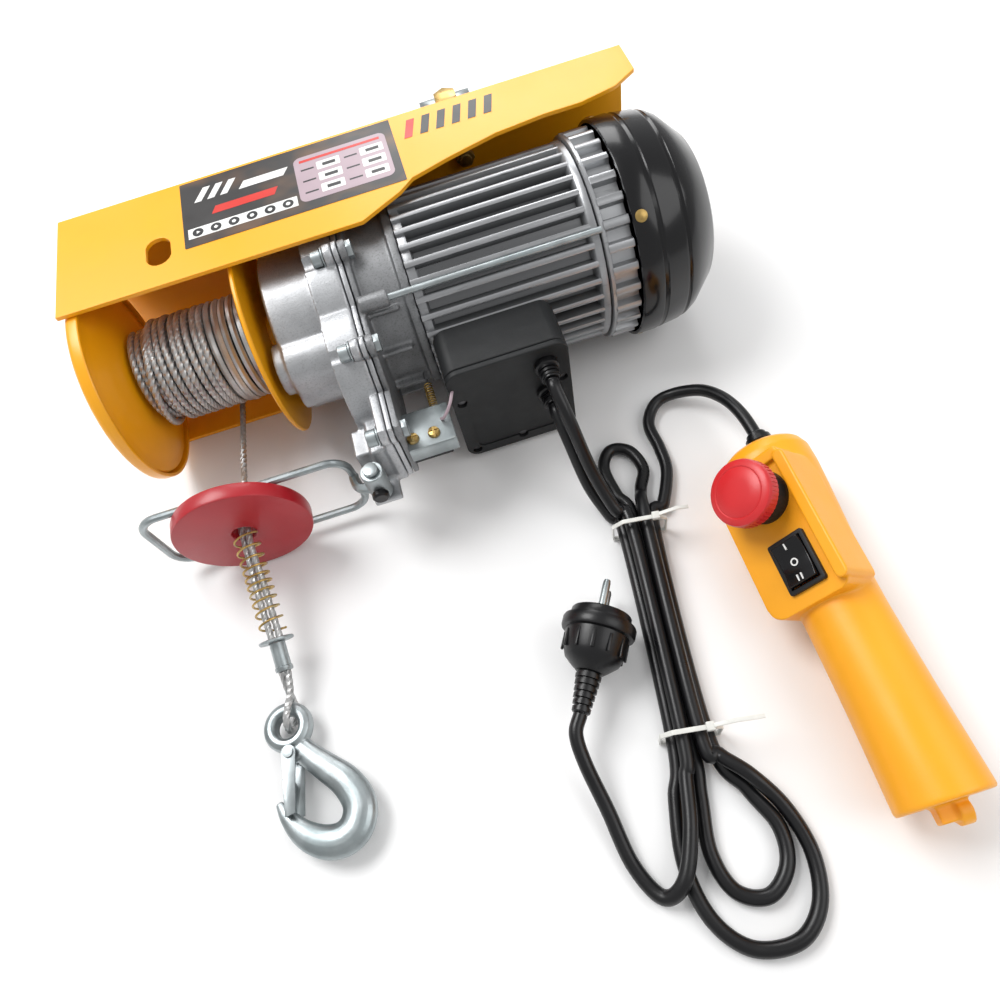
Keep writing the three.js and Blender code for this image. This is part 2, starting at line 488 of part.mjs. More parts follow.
const powerCord = [
  [GLANDS[0][0], -115, GLANDS[0][1]], [GLANDS[0][0], -122, GLANDS[0][1] - 1], [297, -138, 68],
  [303, -160, 36], [311, -182, HIGH + 3],
  ...falling(-5, HIGH), [292, -352, HIGH], [284, -378, HIGH + 1], [272, -400, HIGH], [259, -404, LOW + 1],
  [249, -385, LOW], [245, -355, 9], [241, -330, 18], [240.9, -313.3, 22], [246.84, -303.28, 22.6]];
add('control_cord', wire(controlCord, CORD_R, 8, 58), RUBBER);
add('power_cord', wire(powerCord, CORD_R, 8, 22), RUBBER);

const tieBand = (width, height) => {
  const half = width / 2;
  return cut(plate('y', [[0.1, -half], [height - 6, -half], [height, -half + 7], [height, half - 7],
    [height - 6, half], [0.1, half]], -2.3, 2.3), plate('y', [[1.2, 1.3 - half], [height - 6.5, 1.3 - half],
    [height - 1.2, 7.8 - half], [height - 1.2, half - 7.8], [height - 6.5, half - 1.3],
    [1.2, half - 1.3]], -3, 3));
};
[TIE_1, TIE_2].forEach(([x, y], i) => {
  const turn = new THREE.Matrix4().makeRotationZ(Math.atan2(run.y, run.x) + Math.PI / 2);
  add(`cable_tie_${i + 1}`, moved(tieBand(36, 24), at(x, y, 0).multiply(turn)), WHITE);
});

const PLUG = [247, -303];
const PLUG_TURN = Math.atan2(-(284 - 247), 63);
const plugTurn = at(...PLUG, 0).multiply(new THREE.Matrix4().makeRotationZ(PLUG_TURN));
add('plug_body', moved(cut(turned('y', [[0, 0.4], [6.5, 0.4], [7.5, 26], [14, 30], [18, 34], [19.5, 48],
  [22.5, 49], [22.5, 56], [18.5, 57], [18.5, 62], [0, 62]], [0, 0, 22.6], 22),
...[-9.5, 9.5].map((z) => bar('y', 2.6, 55, 70, [0, 0, 22.6 + z], 10))), plugTurn), RUBBER);
[-9.5, 9.5].forEach((z, i) => {
  add(`plug_pin_${i + 1}`, moved(bar('y', 2.4, 55.5, 81, [0, 0, 22.6 + z], 10), plugTurn), STEEL);
});

export default group;
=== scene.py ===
import json
import math

import bpy
from mathutils import Matrix, Vector


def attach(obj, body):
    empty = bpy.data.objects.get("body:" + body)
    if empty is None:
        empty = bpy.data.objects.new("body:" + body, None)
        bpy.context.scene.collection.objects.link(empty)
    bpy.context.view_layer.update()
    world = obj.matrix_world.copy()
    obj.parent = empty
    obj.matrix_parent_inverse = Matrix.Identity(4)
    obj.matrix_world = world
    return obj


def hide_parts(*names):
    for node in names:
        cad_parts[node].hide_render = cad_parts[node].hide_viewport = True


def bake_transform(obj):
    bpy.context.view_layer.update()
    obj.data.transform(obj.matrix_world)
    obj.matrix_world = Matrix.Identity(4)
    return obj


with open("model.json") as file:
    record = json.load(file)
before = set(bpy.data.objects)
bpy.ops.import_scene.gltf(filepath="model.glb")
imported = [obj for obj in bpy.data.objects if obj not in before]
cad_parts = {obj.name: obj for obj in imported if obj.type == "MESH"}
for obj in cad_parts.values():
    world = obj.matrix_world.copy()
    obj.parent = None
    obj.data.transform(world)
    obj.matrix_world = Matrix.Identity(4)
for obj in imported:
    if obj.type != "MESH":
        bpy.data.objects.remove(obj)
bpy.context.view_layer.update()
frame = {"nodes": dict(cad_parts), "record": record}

bl_info = {
    "name": "Wire Rope Hoist Dressing", "version": (1, 0, 0), "blender": (4, 5, 0),
    "location": "View3D > Sidebar > Hoist",
    "description": "Models and finishes the visible pieces of an electric wire rope hoist",
    "category": "Object"
}

# The model's origin in the hoist's own millimetres, x from the drum end and y from the drum axis
SEAT = (208.0, 40.0)
MM = 0.001
AXIS_Z = 75.0
STRANDS = 6
ROPE_LAY = 2 * math.pi / 0.028
WIDTH = 150.0
END_X = 11.5

# Axis frames: a piece's own X, Y and Z become the directions listed
AXES = {"x": Matrix(((0, 0, 1, 0), (1, 0, 0, 0), (0, 1, 0, 0), (0, 0, 0, 1))), "y": Matrix(
    ((0, 1, 0, 0), (0, 0, 1, 0), (1, 0, 0, 0), (0, 0, 0, 1))), "z": Matrix.Identity(4)}


def row(x, y, z):
    """A point of the hoist in millimetres, as a place in the model's frame in metres."""
    return Vector(((x - SEAT[0]) * MM, (y - SEAT[1]) * MM, z * MM))


def placed(axis, x=0.0, y=0.0, z=0.0):
    """Matrix that turns a piece onto an axis and moves it to a point of the hoist."""
    return Matrix.Translation(row(x, y, z)) @ AXES[axis]


ON_AXIS = placed("x", z=AXIS_Z)


class HoistSizes(bpy.types.PropertyGroup):
    """Sizes a user would change on the finished surfaces"""

    rope_diameter: bpy.props.FloatProperty(
        name="Rope diameter", description="Wire rope over its strands", default=0.0045,
        unit="LENGTH")
    cord_diameter: bpy.props.FloatProperty(
        name="Cord diameter", description="Power and control cord sheath", default=0.0085,
        unit="LENGTH")
    rope_pitch: bpy.props.FloatProperty(
        name="Rope pitch", description="Step of the outer layer on the drum", default=0.0052,
        unit="LENGTH")
    cooling_ribs: bpy.props.IntProperty(
        name="Cooling ribs", description="Ribs around the motor body", default=36)
    edge_radius: bpy.props.FloatProperty(
        name="Edge radius", description="Rounding of the sheet edges", default=0.0008,
        unit="LENGTH")


def colour(name, description, value):
    return bpy.props.FloatVectorProperty(
        name=name, description=description, subtype="COLOR", size=3, default=value, min=0.0,
        max=1.0)


class HoistColours(bpy.types.PropertyGroup):
    """Base colours of the painted and moulded pieces"""

    enamel: colour("Frame enamel", "Paint of frame, end plate and drum", (0.93, 0.40, 0.004))
    disc: colour("Limit disc", "Powder coat of the limit disc", (0.40, 0.004, 0.012))
    button: colour("Stop button", "Moulding of the emergency stop head", (0.62, 0.022, 0.026))
    pendant: colour("Pendant", "Moulding of the pendant", (0.96, 0.40, 0.010))
    casting: colour("Casting", "Blasted aluminium castings", (0.50, 0.51, 0.525))
    box: colour("Control box", "Moulding of the control box", (0.016, 0.017, 0.018))
    cord: colour("Cord", "Sheath of the cords", (0.005, 0.005, 0.006))


# ---------------------------------------------------------------- materials
class Surface:
    """A procedural material built node by node on object coordinates."""

    def __init__(self, name, base, roughness, metallic=0.0):
        self.material = bpy.data.materials.new(name)
        self.material.use_nodes = True
        self.nodes = self.material.node_tree.nodes
        self.links = self.material.node_tree.links
        self.shader = self.nodes["Principled BSDF"]
        self.shader.inputs["Metallic"].default_value = metallic
        self.shader.inputs["Roughness"].default_value = roughness
        self.shader.inputs["Base Color"].default_value = (*base, 1.0)
        self.base = base
        self.colour = None
        self.normal = None
        self.place = self.nodes.new("ShaderNodeTexCoord").outputs["Object"]

    def node(self, kind, inputs, **settings):
        """Add a node, with a value or a link for each of its inputs."""
        node = self.nodes.new("ShaderNode" + kind)
        for key, value in settings.items():
            setattr(node, key, value)
        for key, value in inputs.items():
            if isinstance(value, bpy.types.NodeSocket):
                self.links.new(value, node.inputs[key])
            else:
                node.inputs[key].default_value = value
        return node

    def noise(self, scale, detail=4.0, stretch=(1, 1, 1)):
        source = self.place
        if stretch != (1, 1, 1):
            source = self.node("Mapping", {"Vector": source, "Scale": stretch}).outputs["Vector"]
        settings = {"Vector": source, "Scale": scale, "Detail": detail, "Roughness": 0.55}
        return self.node("TexNoise", settings).outputs["Fac"]

    def ramp(self, value, low, high, start=0.0, end=1.0):
        limits = {"From Min": low, "From Max": high, "To Min": start, "To Max": end}
        return self.node("MapRange", {"Value": value, **limits}).outputs["Result"]

    def tint(self, mask, shade):
        """Lay another colour over what is there, where the mask is 1."""
        under = (*self.base, 1.0) if self.colour is None else self.colour
        layers = {"Factor": mask, "A": under, "B": (*shade, 1.0)}
        self.colour = self.node("Mix", layers, data_type="RGBA").outputs["Result"]
        self.links.new(self.colour, self.shader.inputs["Base Color"])
        return self

    def mottle(self, scale, amount, detail=5.0, stretch=(1, 1, 1)):
        dark = tuple(c * (1 - amount) for c in self.base)
        return self.tint(self.ramp(self.noise(scale, detail, stretch), 0.35, 0.7), dark)

    def gloss(self, scale, low, high, stretch=(1, 1, 1)):
        sheen = self.ramp(self.noise(scale, 5.0, stretch), 0.3, 0.7, low, high)
        self.links.new(sheen, self.shader.inputs["Roughness"])
        return self

    def bump(self, height, strength, distance):
        inputs = {"Strength": strength, "Distance": distance, "Height": height}
        if self.normal is not None:
            inputs["Normal"] = self.normal
        self.normal = self.node("Bump", inputs).outputs["Normal"]
        self.links.new(self.normal, self.shader.inputs["Normal"])
        return self

    def grain(self, scale, strength, distance, detail=3.0, stretch=(1, 1, 1)):
        return self.bump(self.noise(scale, detail, stretch), strength, distance)

    def around(self, centre, near, far):
        """Mask that runs from 0 to 1 with the distance from an axis along X."""
        offset = self.node("VectorMath", {0: self.place, 1: centre}, operation="SUBTRACT")
        flat = self.node(
            "VectorMath", {0: offset.outputs["Vector"], 1: (0, 1, 1)}, operation="MULTIPLY")
        length = self.node("VectorMath", {0: flat.outputs["Vector"]}, operation="LENGTH")
        return self.ramp(length.outputs["Value"], near, far)

    def dull(self, level):
        """Weaken the plain reflection of a moulding."""
        self.shader.inputs["Specular IOR Level"].default_value = level
        return self

    def coat(self, weight, roughness):
        self.shader.inputs["Coat Weight"].default_value = weight
        self.shader.inputs["Coat Roughness"].default_value = roughness
        return self


def frame_enamel(c):
    s = Surface("frame_enamel", c, 0.36).mottle(7.0, 0.10).mottle(45.0, 0.05)
    return s.gloss(14.0, 0.30, 0.42).grain(900.0, 0.10, 0.0004).coat(0.15, 0.25)


def disc_coat(c):
    s = Surface("disc_powder_coat", c, 0.36).mottle(25.0, 0.16)
    return s.gloss(30.0, 0.32, 0.46).grain(1100.0, 0.16, 0.0004).coat(0.2, 0.2)


def blasted_casting(c):
    s = Surface("blasted_casting", c, 0.5, 0.8).mottle(30.0, 0.22)
    s.tint(s.ramp(s.noise(900.0, 2.0), 0.5, 0.8), tuple(0.65 * v for v in c))
    return s.gloss(80.0, 0.36, 0.52).grain(1300.0, 0.35, 0.0004).grain(120.0, 0.12, 0.0008)


def grey_casting(c):
    dark = tuple(v * 0.55 for v in c)
    s = Surface("grey_casting", dark, 0.55, 0.7).mottle(50.0, 0.25)
    s.tint(s.ramp(s.noise(900.0, 2.0), 0.5, 0.75), tuple(0.6 * v for v in dark))
    return s.gloss(90.0, 0.42, 0.6).grain(1500.0, 0.4, 0.0004)


def ribbed_casting(c):
    s = Surface(
        "ribbed_casting", tuple(0.9 * v for v in c), 0.36,
        0.85).mottle(30.0, 0.3, stretch=(0.25, 1, 1))
    s.tint(s.ramp(s.noise(260.0, 4.0, (0.2, 1, 1)), 0.6, 0.74), tuple(0.5 * v for v in c))
    # Painted shade in the gaps between the ribs: the casting is painted darker from 65 mm in
    # towards 60 mm from the motor axis
    s.tint(s.around(row(0, 0, AXIS_Z), 0.0650, 0.0600), tuple(0.34 * v for v in c))
    return s.gloss(60.0, 0.26, 0.44, (0.2, 1, 1)).grain(420.0, 0.14, 0.0004, stretch=(0.15, 1, 1))


def bright_zinc():
    s = Surface("bright_zinc", (0.42, 0.46, 0.47), 0.3, 0.95).mottle(70.0, 0.3)
    return s.tint(s.ramp(s.noise(18.0), 0.5, 0.75), (0.26, 0.31, 0.32)).gloss(60.0, 0.3, 0.5).grain(
        500.0, 0.14, 0.0004)


def yellow_zinc():
    s = Surface("yellow_zinc", (0.56, 0.38, 0.13), 0.3, 0.9).mottle(90.0, 0.3)
    return s.tint(s.ramp(s.noise(50.0), 0.55, 0.7), (0.40, 0.36, 0.22)).gloss(150.0, 0.22, 0.42)


def rope_wire():
    s = Surface("rope_wire", (0.57, 0.57, 0.565), 0.36, 0.8).mottle(45.0, 0.35)
    return s.gloss(200.0, 0.28, 0.46).grain(2200.0, 0.25, 0.0003, 2.0)


def box_plastic(c):
    s = Surface("box_plastic", c, 0.48).mottle(30.0, 0.25)
    return s.gloss(60.0, 0.44, 0.56).grain(1800.0, 0.35, 0.0003).dull(0.3)


def gloss_moulding():
    s = Surface("gloss_moulding", (0.004, 0.004, 0.005), 0.2).mottle(18.0, 0.3)
    return s.gloss(12.0, 0.16, 0.26).grain(160.0, 0.05, 0.0005).coat(0.15, 0.08).dull(0.35)


def cord_sheath(c):
    s = Surface("cord_sheath", c, 0.34).mottle(60.0, 0.35)
    return s.gloss(35.0, 0.26, 0.42).grain(900.0, 0.12, 0.0003).dull(0.4)


def pendant_moulding(c):
    s = Surface("pendant_moulding", c, 0.4).mottle(16.0, 0.07)
    return s.gloss(24.0, 0.32, 0.46).grain(1500.0, 0.22, 0.0003)


def button_moulding(c):
    s = Surface("button_moulding", c, 0.34).mottle(40.0, 0.12)
    return s.gloss(30.0, 0.28, 0.4).grain(1200.0, 0.1, 0.0003)


def nylon():
    s = Surface("nylon", (0.74, 0.74, 0.70), 0.42).mottle(120.0, 0.12)
    s.shader.inputs["Subsurface Weight"].default_value = 0.15
    s.shader.inputs["Subsurface Radius"].default_value = (0.002, 0.002, 0.002)
    return s.gloss(80.0, 0.34, 0.5).grain(900.0, 0.1, 0.0002)


def dark_iron():
    return Surface(
        "dark_iron", (0.13, 0.13, 0.135), 0.45, 0.8).mottle(60.0, 0.4).gloss(90.0, 0.3, 0.55)


def copper_winding():
    s = Surface("copper_winding", (0.50, 0.20, 0.07), 0.35, 0.8).mottle(90.0, 0.4)
    return s.grain(500.0, 0.5, 0.0006, 2.0, (0.1, 1, 1)).gloss(70.0, 0.25, 0.45)


def label_ink(name, shade):
    return Surface(name, shade, 0.36).mottle(30.0, 0.1).gloss(40.0, 0.28, 0.42)


def label_ground():
    s = Surface("label_ground", (0.030, 0.028, 0.028), 0.34).gloss(40.0, 0.28, 0.4)
    return s.tint(s.ramp(s.noise(22.0, 2.0, (1.0, 1.6, 1.0)), 0.52, 0.82), (0.16, 0.085, 0.045))


FINISHES = {}


def mix_finishes():
    c = bpy.context.scene.hoist_colours
    made = {
        "yellow_paint": frame_enamel(c.enamel), "red_paint": disc_coat(c.disc),
        "cast_aluminium": blasted_casting(c.casting), "grey_casting": grey_casting(c.casting),
        "ribbed_casting": ribbed_casting(c.casting), "zinc_steel": bright_zinc(),
        "yellow_zinc": yellow_zinc(), "wire_rope": rope_wire(), "box_plastic": box_plastic(c.box),
        "gloss_black": gloss_moulding(), "cord_rubber": cord_sheath(c.cord),
        "pendant_plastic": pendant_moulding(c.pendant), "button_red": button_moulding(c.button),
        "white_plastic": nylon(), "core_iron": dark_iron(), "winding": copper_winding(),
        "label_ground": label_ground(), "label_panel": label_ink("label_panel", (0.42, 0.32, 0.36)),
        "label_white": label_ink("label_white", (0.80, 0.80, 0.78)),
        "label_red": label_ink("label_red", (0.60, 0.03, 0.02)),
        "label_black": label_ink("label_black", (0.020, 0.020, 0.022))
    }
    FINISHES.update({name: surface.material for name, surface in made.items()})


# ---------------------------------------------------------------- modelling by operator
def edit(action="SELECT"):
    bpy.ops.object.mode_set(mode="EDIT")
    bpy.ops.mesh.select_all(action=action)


def done_editing():
    bpy.ops.object.mode_set(mode="OBJECT")


def only(piece):
    bpy.ops.object.select_all(action="DESELECT")
    piece.select_set(True)
    bpy.context.view_layer.objects.active = piece


def line_of(points):
    """A chain of edges through points in millimetres, left in edit mode with its end selected."""
    bpy.ops.object.select_all(action="DESELECT")
    bpy.ops.mesh.primitive_plane_add(size=MM, enter_editmode=True, location=(0, 0, 0))
    bpy.ops.mesh.merge(type="CENTER")
    here = Vector(points[0]) * MM
    bpy.ops.transform.translate(value=here)
    for point in points[1:]:
        there = Vector(point) * MM
        bpy.ops.mesh.extrude_vertices_move(TRANSFORM_OT_translate={"value": there - here})
        here = there
    return bpy.context.active_object


def turned(profile, steps=96):
    """Spin a profile of (radius, height) about Z; one that starts off the axis is closed first."""
    ring = list(profile) + ([profile[0]] if profile[0][0] else [])
    piece = line_of([(r, 0, s) for r, s in ring])
    bpy.ops.mesh.select_all(action="SELECT")
    bpy.ops.mesh.spin(steps=steps, angle=2 * math.pi, center=(0, 0, 0), axis=(0, 0, 1))
    bpy.ops.mesh.select_all(action="SELECT")
    bpy.ops.mesh.remove_doubles(threshold=2e-6)
    bpy.ops.mesh.normals_make_consistent(inside=False)
    done_editing()
    return piece


def slab(outline, low, high):
    """Extrude an outline of (u, v) points from one height to another."""
    piece = line_of([(u, v, low) for u, v in outline])
    bpy.ops.mesh.select_all(action="SELECT")
    bpy.ops.mesh.edge_face_add()
    bpy.ops.mesh.extrude_region_move(TRANSFORM_OT_translate={"value": (0, 0, (high - low) * MM)})
    bpy.ops.mesh.select_all(action="SELECT")
    bpy.ops.mesh.normals_make_consistent(inside=False)
    done_editing()
    return piece


def rod(radius, low, high, steps=48):
    return turned([(0, low), (radius, low), (radius, high), (0, high)], steps)


def oblong(x0, x1, y0, y1, slant=0.0):
    return [(x0, y0), (x1, y0), (x1 + slant, y1), (x0 + slant, y1)]


def block(x0, x1, y0, y1, z0, z1):
    return slab(oblong(x0, x1, y0, y1), z0, z1)


def move(piece, matrix):
    piece.data.transform(matrix)
    if matrix.determinant() < 0:
        piece.data.flip_normals()
    return piece


def shifted(piece, x=0.0, y=0.0, z=0.0):
    return move(piece, Matrix.Translation(Vector((x, y, z)) * MM))


def ring_of(count, make):
    """Like pieces at equal steps about Z."""
    return [move(make(), Matrix.Rotation(2 * math.pi * i / count, 4, "Z")) for i in range(count)]


def apply(piece, kind, **settings):
    only(piece)
    modifier = piece.modifiers.new("step", kind)
    for key, value in settings.items():
        setattr(modifier, key, value)
    bpy.ops.object.modifier_apply(modifier=modifier.name)
    return piece


def round_edges(piece, width=0.6, segments=3, angle=32.0):
    return apply(
        piece, "BEVEL", width=width * MM, segments=segments, limit_method="ANGLE",
        angle_limit=math.radians(angle), harden_normals=False)


def cut(piece, *tools):
    for tool in tools:
        apply(piece, "BOOLEAN", object=tool, operation="DIFFERENCE", solver="EXACT")
        bpy.data.objects.remove(tool)
    return piece


def together(*pieces):
    """Join pieces into one object without merging their shells."""
    bpy.ops.object.select_all(action="DESELECT")
    for piece in pieces:
        piece.select_set(True)
    bpy.context.view_layer.objects.active = pieces[0]
    bpy.ops.object.join()
    return pieces[0]


def cast(piece, voxel=1.0, smoothing=5, keep=0.45):
    """Melt joined shells into one body with the soft fillets of a casting or moulding."""
    apply(piece, "REMESH", mode="VOXEL", voxel_size=voxel * MM)
    apply(piece, "SMOOTH", factor=0.5, iterations=smoothing)
    if keep < 1:
        apply(piece, "DECIMATE", ratio=keep)
    return piece


def refined(node, width=0.5, segments=2, angle=32.0):
    """A merged copy of a CAD node with its edges rounded."""
    piece = frame["nodes"][node].copy()
    piece.data = piece.data.copy()
    piece.parent = None
    piece.hide_render = False
    piece.hide_viewport = False
    for key in list(piece.keys()):
        del piece[key]
    bpy.context.scene.collection.objects.link(piece)
    only(piece)
    edit()
    bpy.ops.mesh.remove_doubles(threshold=2e-6)
    bpy.ops.mesh.dissolve_limited(angle_limit=math.radians(1.0))
    done_editing()
    return round_edges(piece, width, segments, angle) if width else piece


def linked(name, data):
    thing = bpy.data.objects.new(name, data)
    bpy.context.scene.collection.objects.link(thing)
    return thing


def bar_curve(points, radius, resolution):
    """A round bar along points in metres, still a curve."""
    curve = bpy.data.curves.new("bar", "CURVE")
    curve.dimensions = "3D"
    curve.use_fill_caps = True
    curve.bevel_depth = radius
    curve.bevel_resolution = resolution
    spline = curve.splines.new("POLY")
    spline.points.add(len(points) - 1)
    for place, point in zip(points, spline.points):
        point.co = (*place, 1.0)
    return linked("bar", curve)


def meshed(piece):
    only(piece)
    bpy.ops.object.convert(target="MESH")
    return piece


def closed(piece):
    only(piece)
    edit()
    bpy.ops.mesh.remove_doubles(threshold=1e-6)
    bpy.ops.mesh.normals_make_consistent(inside=False)
    done_editing()
    return piece


def swept(points, radius, section=12):
    """A closed round bar along points in metres."""
    return closed(meshed(bar_curve(points, radius, max(1, section // 4 - 1))))


def laid(points, radius):
    """A wire rope of six twisted strands along points in metres."""
    rope = bar_curve(points, 0.0, 0)
    run = 0.0
    for i, point in enumerate(rope.data.splines[0].points):
        run += (points[i] - points[i - 1]).length if i else 0.0
        point.tilt = ROPE_LAY * run
    shape = bpy.data.curves.new("strands", "CURVE")
    shape.dimensions = "2D"
    ring = shape.splines.new("POLY")
    count = STRANDS * 3
    ring.points.add(count - 1)
    for i in range(count):
        angle = 2 * math.pi * i / count
        r = radius * (0.92 + 0.08 * math.cos(STRANDS * angle))
        ring.points[i].co = (r * math.cos(angle), r * math.sin(angle), 0, 1)
    ring.use_cyclic_u = True
    profile = linked("strands", shape)
    rope.data.bevel_mode = "OBJECT"
    rope.data.bevel_object = profile
    meshed(rope)
    bpy.data.objects.remove(profile)
    return closed(rope)


def flowing(points, per_span=10):
    """Points on the smooth line through route points, in metres."""
    ends = [points[0] * 2 - points[1], *points, points[-1] * 2 - points[-2]]
    line = []
    for i in range(1, len(ends) - 2):
        a, b, c, d = ends[i - 1:i + 3]
        for k in range(per_span):
            t = k / per_span
            line.append(0.5 * (2 * b + (c - a) * t + (2 * a - 5 * b + 4 * c - d) * t * t
                               + (3 * b - a - 3 * c + d) * t ** 3))
    return line + [points[-1]]


def through(points, per_span=10):
    """The smooth line through points of the hoist."""
    return flowing([row(*point) for point in points], per_span)


def finished(piece, name, slot, stands_for=(), finish=None, smooth=35.0, flat_faces=False,
             body="frame"):
    """Name a piece, give it its finish and let it ride on its body."""
    piece.name = name
    piece.data.name = name
    piece.data.materials.clear()
    piece.data.materials.append(FINISHES[finish or slot])
    if smooth and piece.type == "MESH":
        only(piece)
        bpy.ops.object.shade_smooth_by_angle(angle=math.radians(smooth))
        if flat_faces:
            apply(piece, "WEIGHTED_NORMAL", keep_sharp=True, weight=100)
    if body:
        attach(piece, body)
    if stands_for:
        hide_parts(*stands_for)
    return piece


# ---------------------------------------------------------------- stage
CAMERA_PLACE = (240, -405, 475)
CAMERA_TILT = (0.488, 0.873)
CAMERA_ROLL = 17.6
SENSOR = 36.0
FOCAL_SHARE = 0.770
# Each lamp's name, place, width in metres and power in watts
LAMPS = (
    ("key", (-0.7, 0.5, 1.5), 0.9, 24.0), ("fill", (1.2, -0.7, 1.3), 1.2, 9.0),
    ("rim", (0.3, 1.3, 1.0), 0.8, 9.0))
LAMP_AIM = (0.02, -0.12, 0.05)


class HOIST_OT_stage(bpy.types.Operator):
    """Lay the floor, hang the lights and set the camera"""

    bl_idname = "hoist.stage"
    bl_label = "Stage"

    def execute(self, context):
        scene = context.scene
        bpy.ops.object.select_all(action="DESELECT")
        bpy.ops.mesh.primitive_plane_add(size=12.0, location=(0, 0, -0.0006))
        floor = context.active_object
        floor.name = "floor"
        paper = Surface("paper", (0.90, 0.90, 0.90), 0.8).mottle(3.0, 0.01)
        floor.data.materials.append(paper.material)

        tilt, roll = Vector(CAMERA_TILT).normalized(), math.radians(CAMERA_ROLL)
        back = Vector((0, -tilt.x, tilt.y))
        level, up = Vector((1, 0, 0)), Vector((0, tilt.y, tilt.x))
        right = math.cos(roll) * level - math.sin(roll) * up
        top = math.sin(roll) * level + math.cos(roll) * up
        lens = bpy.data.cameras.new("camera")
        lens.sensor_width = SENSOR
        lens.lens = SENSOR * FOCAL_SHARE
        lens.clip_start = 0.01
        camera = linked("camera", lens)
        turn = Matrix((right, top, back)).transposed().to_4x4()
        camera.matrix_world = Matrix.Translation(row(*CAMERA_PLACE)) @ turn
        scene.camera = camera

        for name, place, size, power in LAMPS:
            lamp = bpy.data.lights.new(name, "AREA")
            lamp.size = size
            lamp.energy = power
            holder = linked(name, lamp)
            aim = (Vector(LAMP_AIM) - Vector(place)).to_track_quat("-Z", "Y")
            holder.matrix_world = Matrix.Translation(place) @ aim.to_matrix().to_4x4()
        world = bpy.data.worlds.new("studio")
        world.use_nodes = True
        world.node_tree.nodes["Background"].inputs["Color"].default_value = (1, 1, 1, 1)
        world.node_tree.nodes["Background"].inputs["Strength"].default_value = 0.55
        scene.world = world
        scene.view_settings.view_transform = "Standard"
        return {"FINISHED"}


# ---------------------------------------------------------------- cords
CORD_R = 4.25
GLANDS = ((294.0, 82.0), (293.0, 55.0))
PENDANT = (412.0, 31.0)
LOW = CORD_R + 0.35
HIGH = LOW + 8.4
TIE_LIFT = 1.4
TIE_1 = Vector((322.0, -197.0, 0.0))
TIE_2 = Vector((303.5, -330.0, 0.0))
RUN = (TIE_2 - TIE_1).normalized()


def across(tie, offset, height):
    return (tie.x - RUN.y * offset, tie.y + RUN.x * offset, height)


def rising(offset, height):
    return [across(TIE_2, offset, height + TIE_LIFT), across(TIE_1, offset, height + TIE_LIFT)]


def falling(offset, height):
    return rising(offset, height)[::-1]


CONTROL_CORD = [
    (GLANDS[1][0], -115, GLANDS[1][1]), (GLANDS[1][0], -122, GLANDS[1][1] - 1), (295, -138, 44),
    (300, -160, 18), (308, -180, LOW), *falling(-9.9, LOW), (283, -360, LOW), (275.5, -392, LOW),
    (279, -420, LOW), (294, -438, LOW), (318, -441, LOW), (335, -428, LOW), (342, -405, LOW),
    (338, -380, LOW + 1), (326, -360, HIGH), (314, -345, HIGH), *rising(5, HIGH),
    (333, -170, LOW + 2), (341, -153, LOW), (337, -136, LOW), (325, -131, LOW), (316, -143, LOW),
    (317, -165, LOW), *falling(0, LOW), (297, -362, LOW), (291, -390, LOW), (296, -411, LOW),
    (312, -418, LOW), (327, -407, LOW), (331, -388, LOW), (323, -366, LOW), *rising(9.9, LOW),
    (344, -183, LOW), (355.5, -160, LOW), (357.5, -141, LOW), (357.5, -120, LOW),
    (367.5, -106, LOW + 1.5), (381, -104.5, 9.5), (397, -113.8, 18), (406, -129, 25),
    (410.5, -147, 29.5), (PENDANT[0], -168, PENDANT[1]), (PENDANT[0], -195, PENDANT[1])
]
POWER_CORD = [
    (GLANDS[0][0], -115, GLANDS[0][1]), (GLANDS[0][0], -122, GLANDS[0][1] - 1), (297, -138, 68),
    (303, -160, 36), (311, -182, HIGH + 3), *falling(-5, HIGH), (292, -352, HIGH),
    (284, -378, HIGH + 1), (272, -400, HIGH), (259, -404, LOW + 1), (249, -385, LOW),
    (245, -355, 9), (241, -330, 18), (240.9, -313.3, 22), (246.84, -303.28, 22.6)
]
PLUG = (247.0, -303.0, 22.6)
PLUG_TURN = math.atan2(-37.0, 63.0)


def lay_cord(name, node, route):
    """Lay a cord along its route and state what it is."""
    line = through(route)
    cord = bar_curve(line, bpy.context.scene.hoist_sizes.cord_diameter / 2, 4)
    cord.data.splines[0].use_smooth = True
    finished(cord, name, "cord_rubber", [node])


def tie_band(tie, tail):
    """A nylon tie round the five runs, with its head and its cut tail."""
    half, height = 18.0, 24.0
    outer = [(-half, 0.3), (half, 0.3), (half, height - 6), (half - 7, height), (7 - half, height),
             (-half, height - 6)]
    inner = [
        (1.2 - half, 1.3), (half - 1.2, 1.3), (half - 1.2, height - 6.5),
        (half - 7.5, height - 1.1), (7.5 - half, height - 1.1), (1.2 - half, height - 6.5)
    ]
    band = round_edges(cut(slab(outer, -1.4, 1.4), slab(inner, -4, 4)), 0.3, 2)
    head = round_edges(block(half - 10, half - 5, height - 1.6, height + 1.7, -2.6, 2.6), 0.6, 3)
    rise = height + 1.2
    strap = [
        (half - 6, rise), (half + 6, rise + 4), (half + tail, rise + 3), (half + tail, rise + 3.9),
        (half + 6, rise + 5), (half - 6, rise + 1)
    ]
    strap = round_edges(slab(strap, -1.2, 1.2), 0.2, 2)
    piece = together(band, head, strap)
    turn = math.atan2(RUN.y, RUN.x) + math.pi / 2
    stand = Matrix(((1, 0, 0, 0), (0, 0, 1, 0), (0, 1, 0, 0), (0, 0, 0, 1)))
    move(piece, Matrix.Translation(row(tie.x, tie.y, 0)) @ Matrix.Rotation(turn, 4, "Z") @ stand)
    return piece


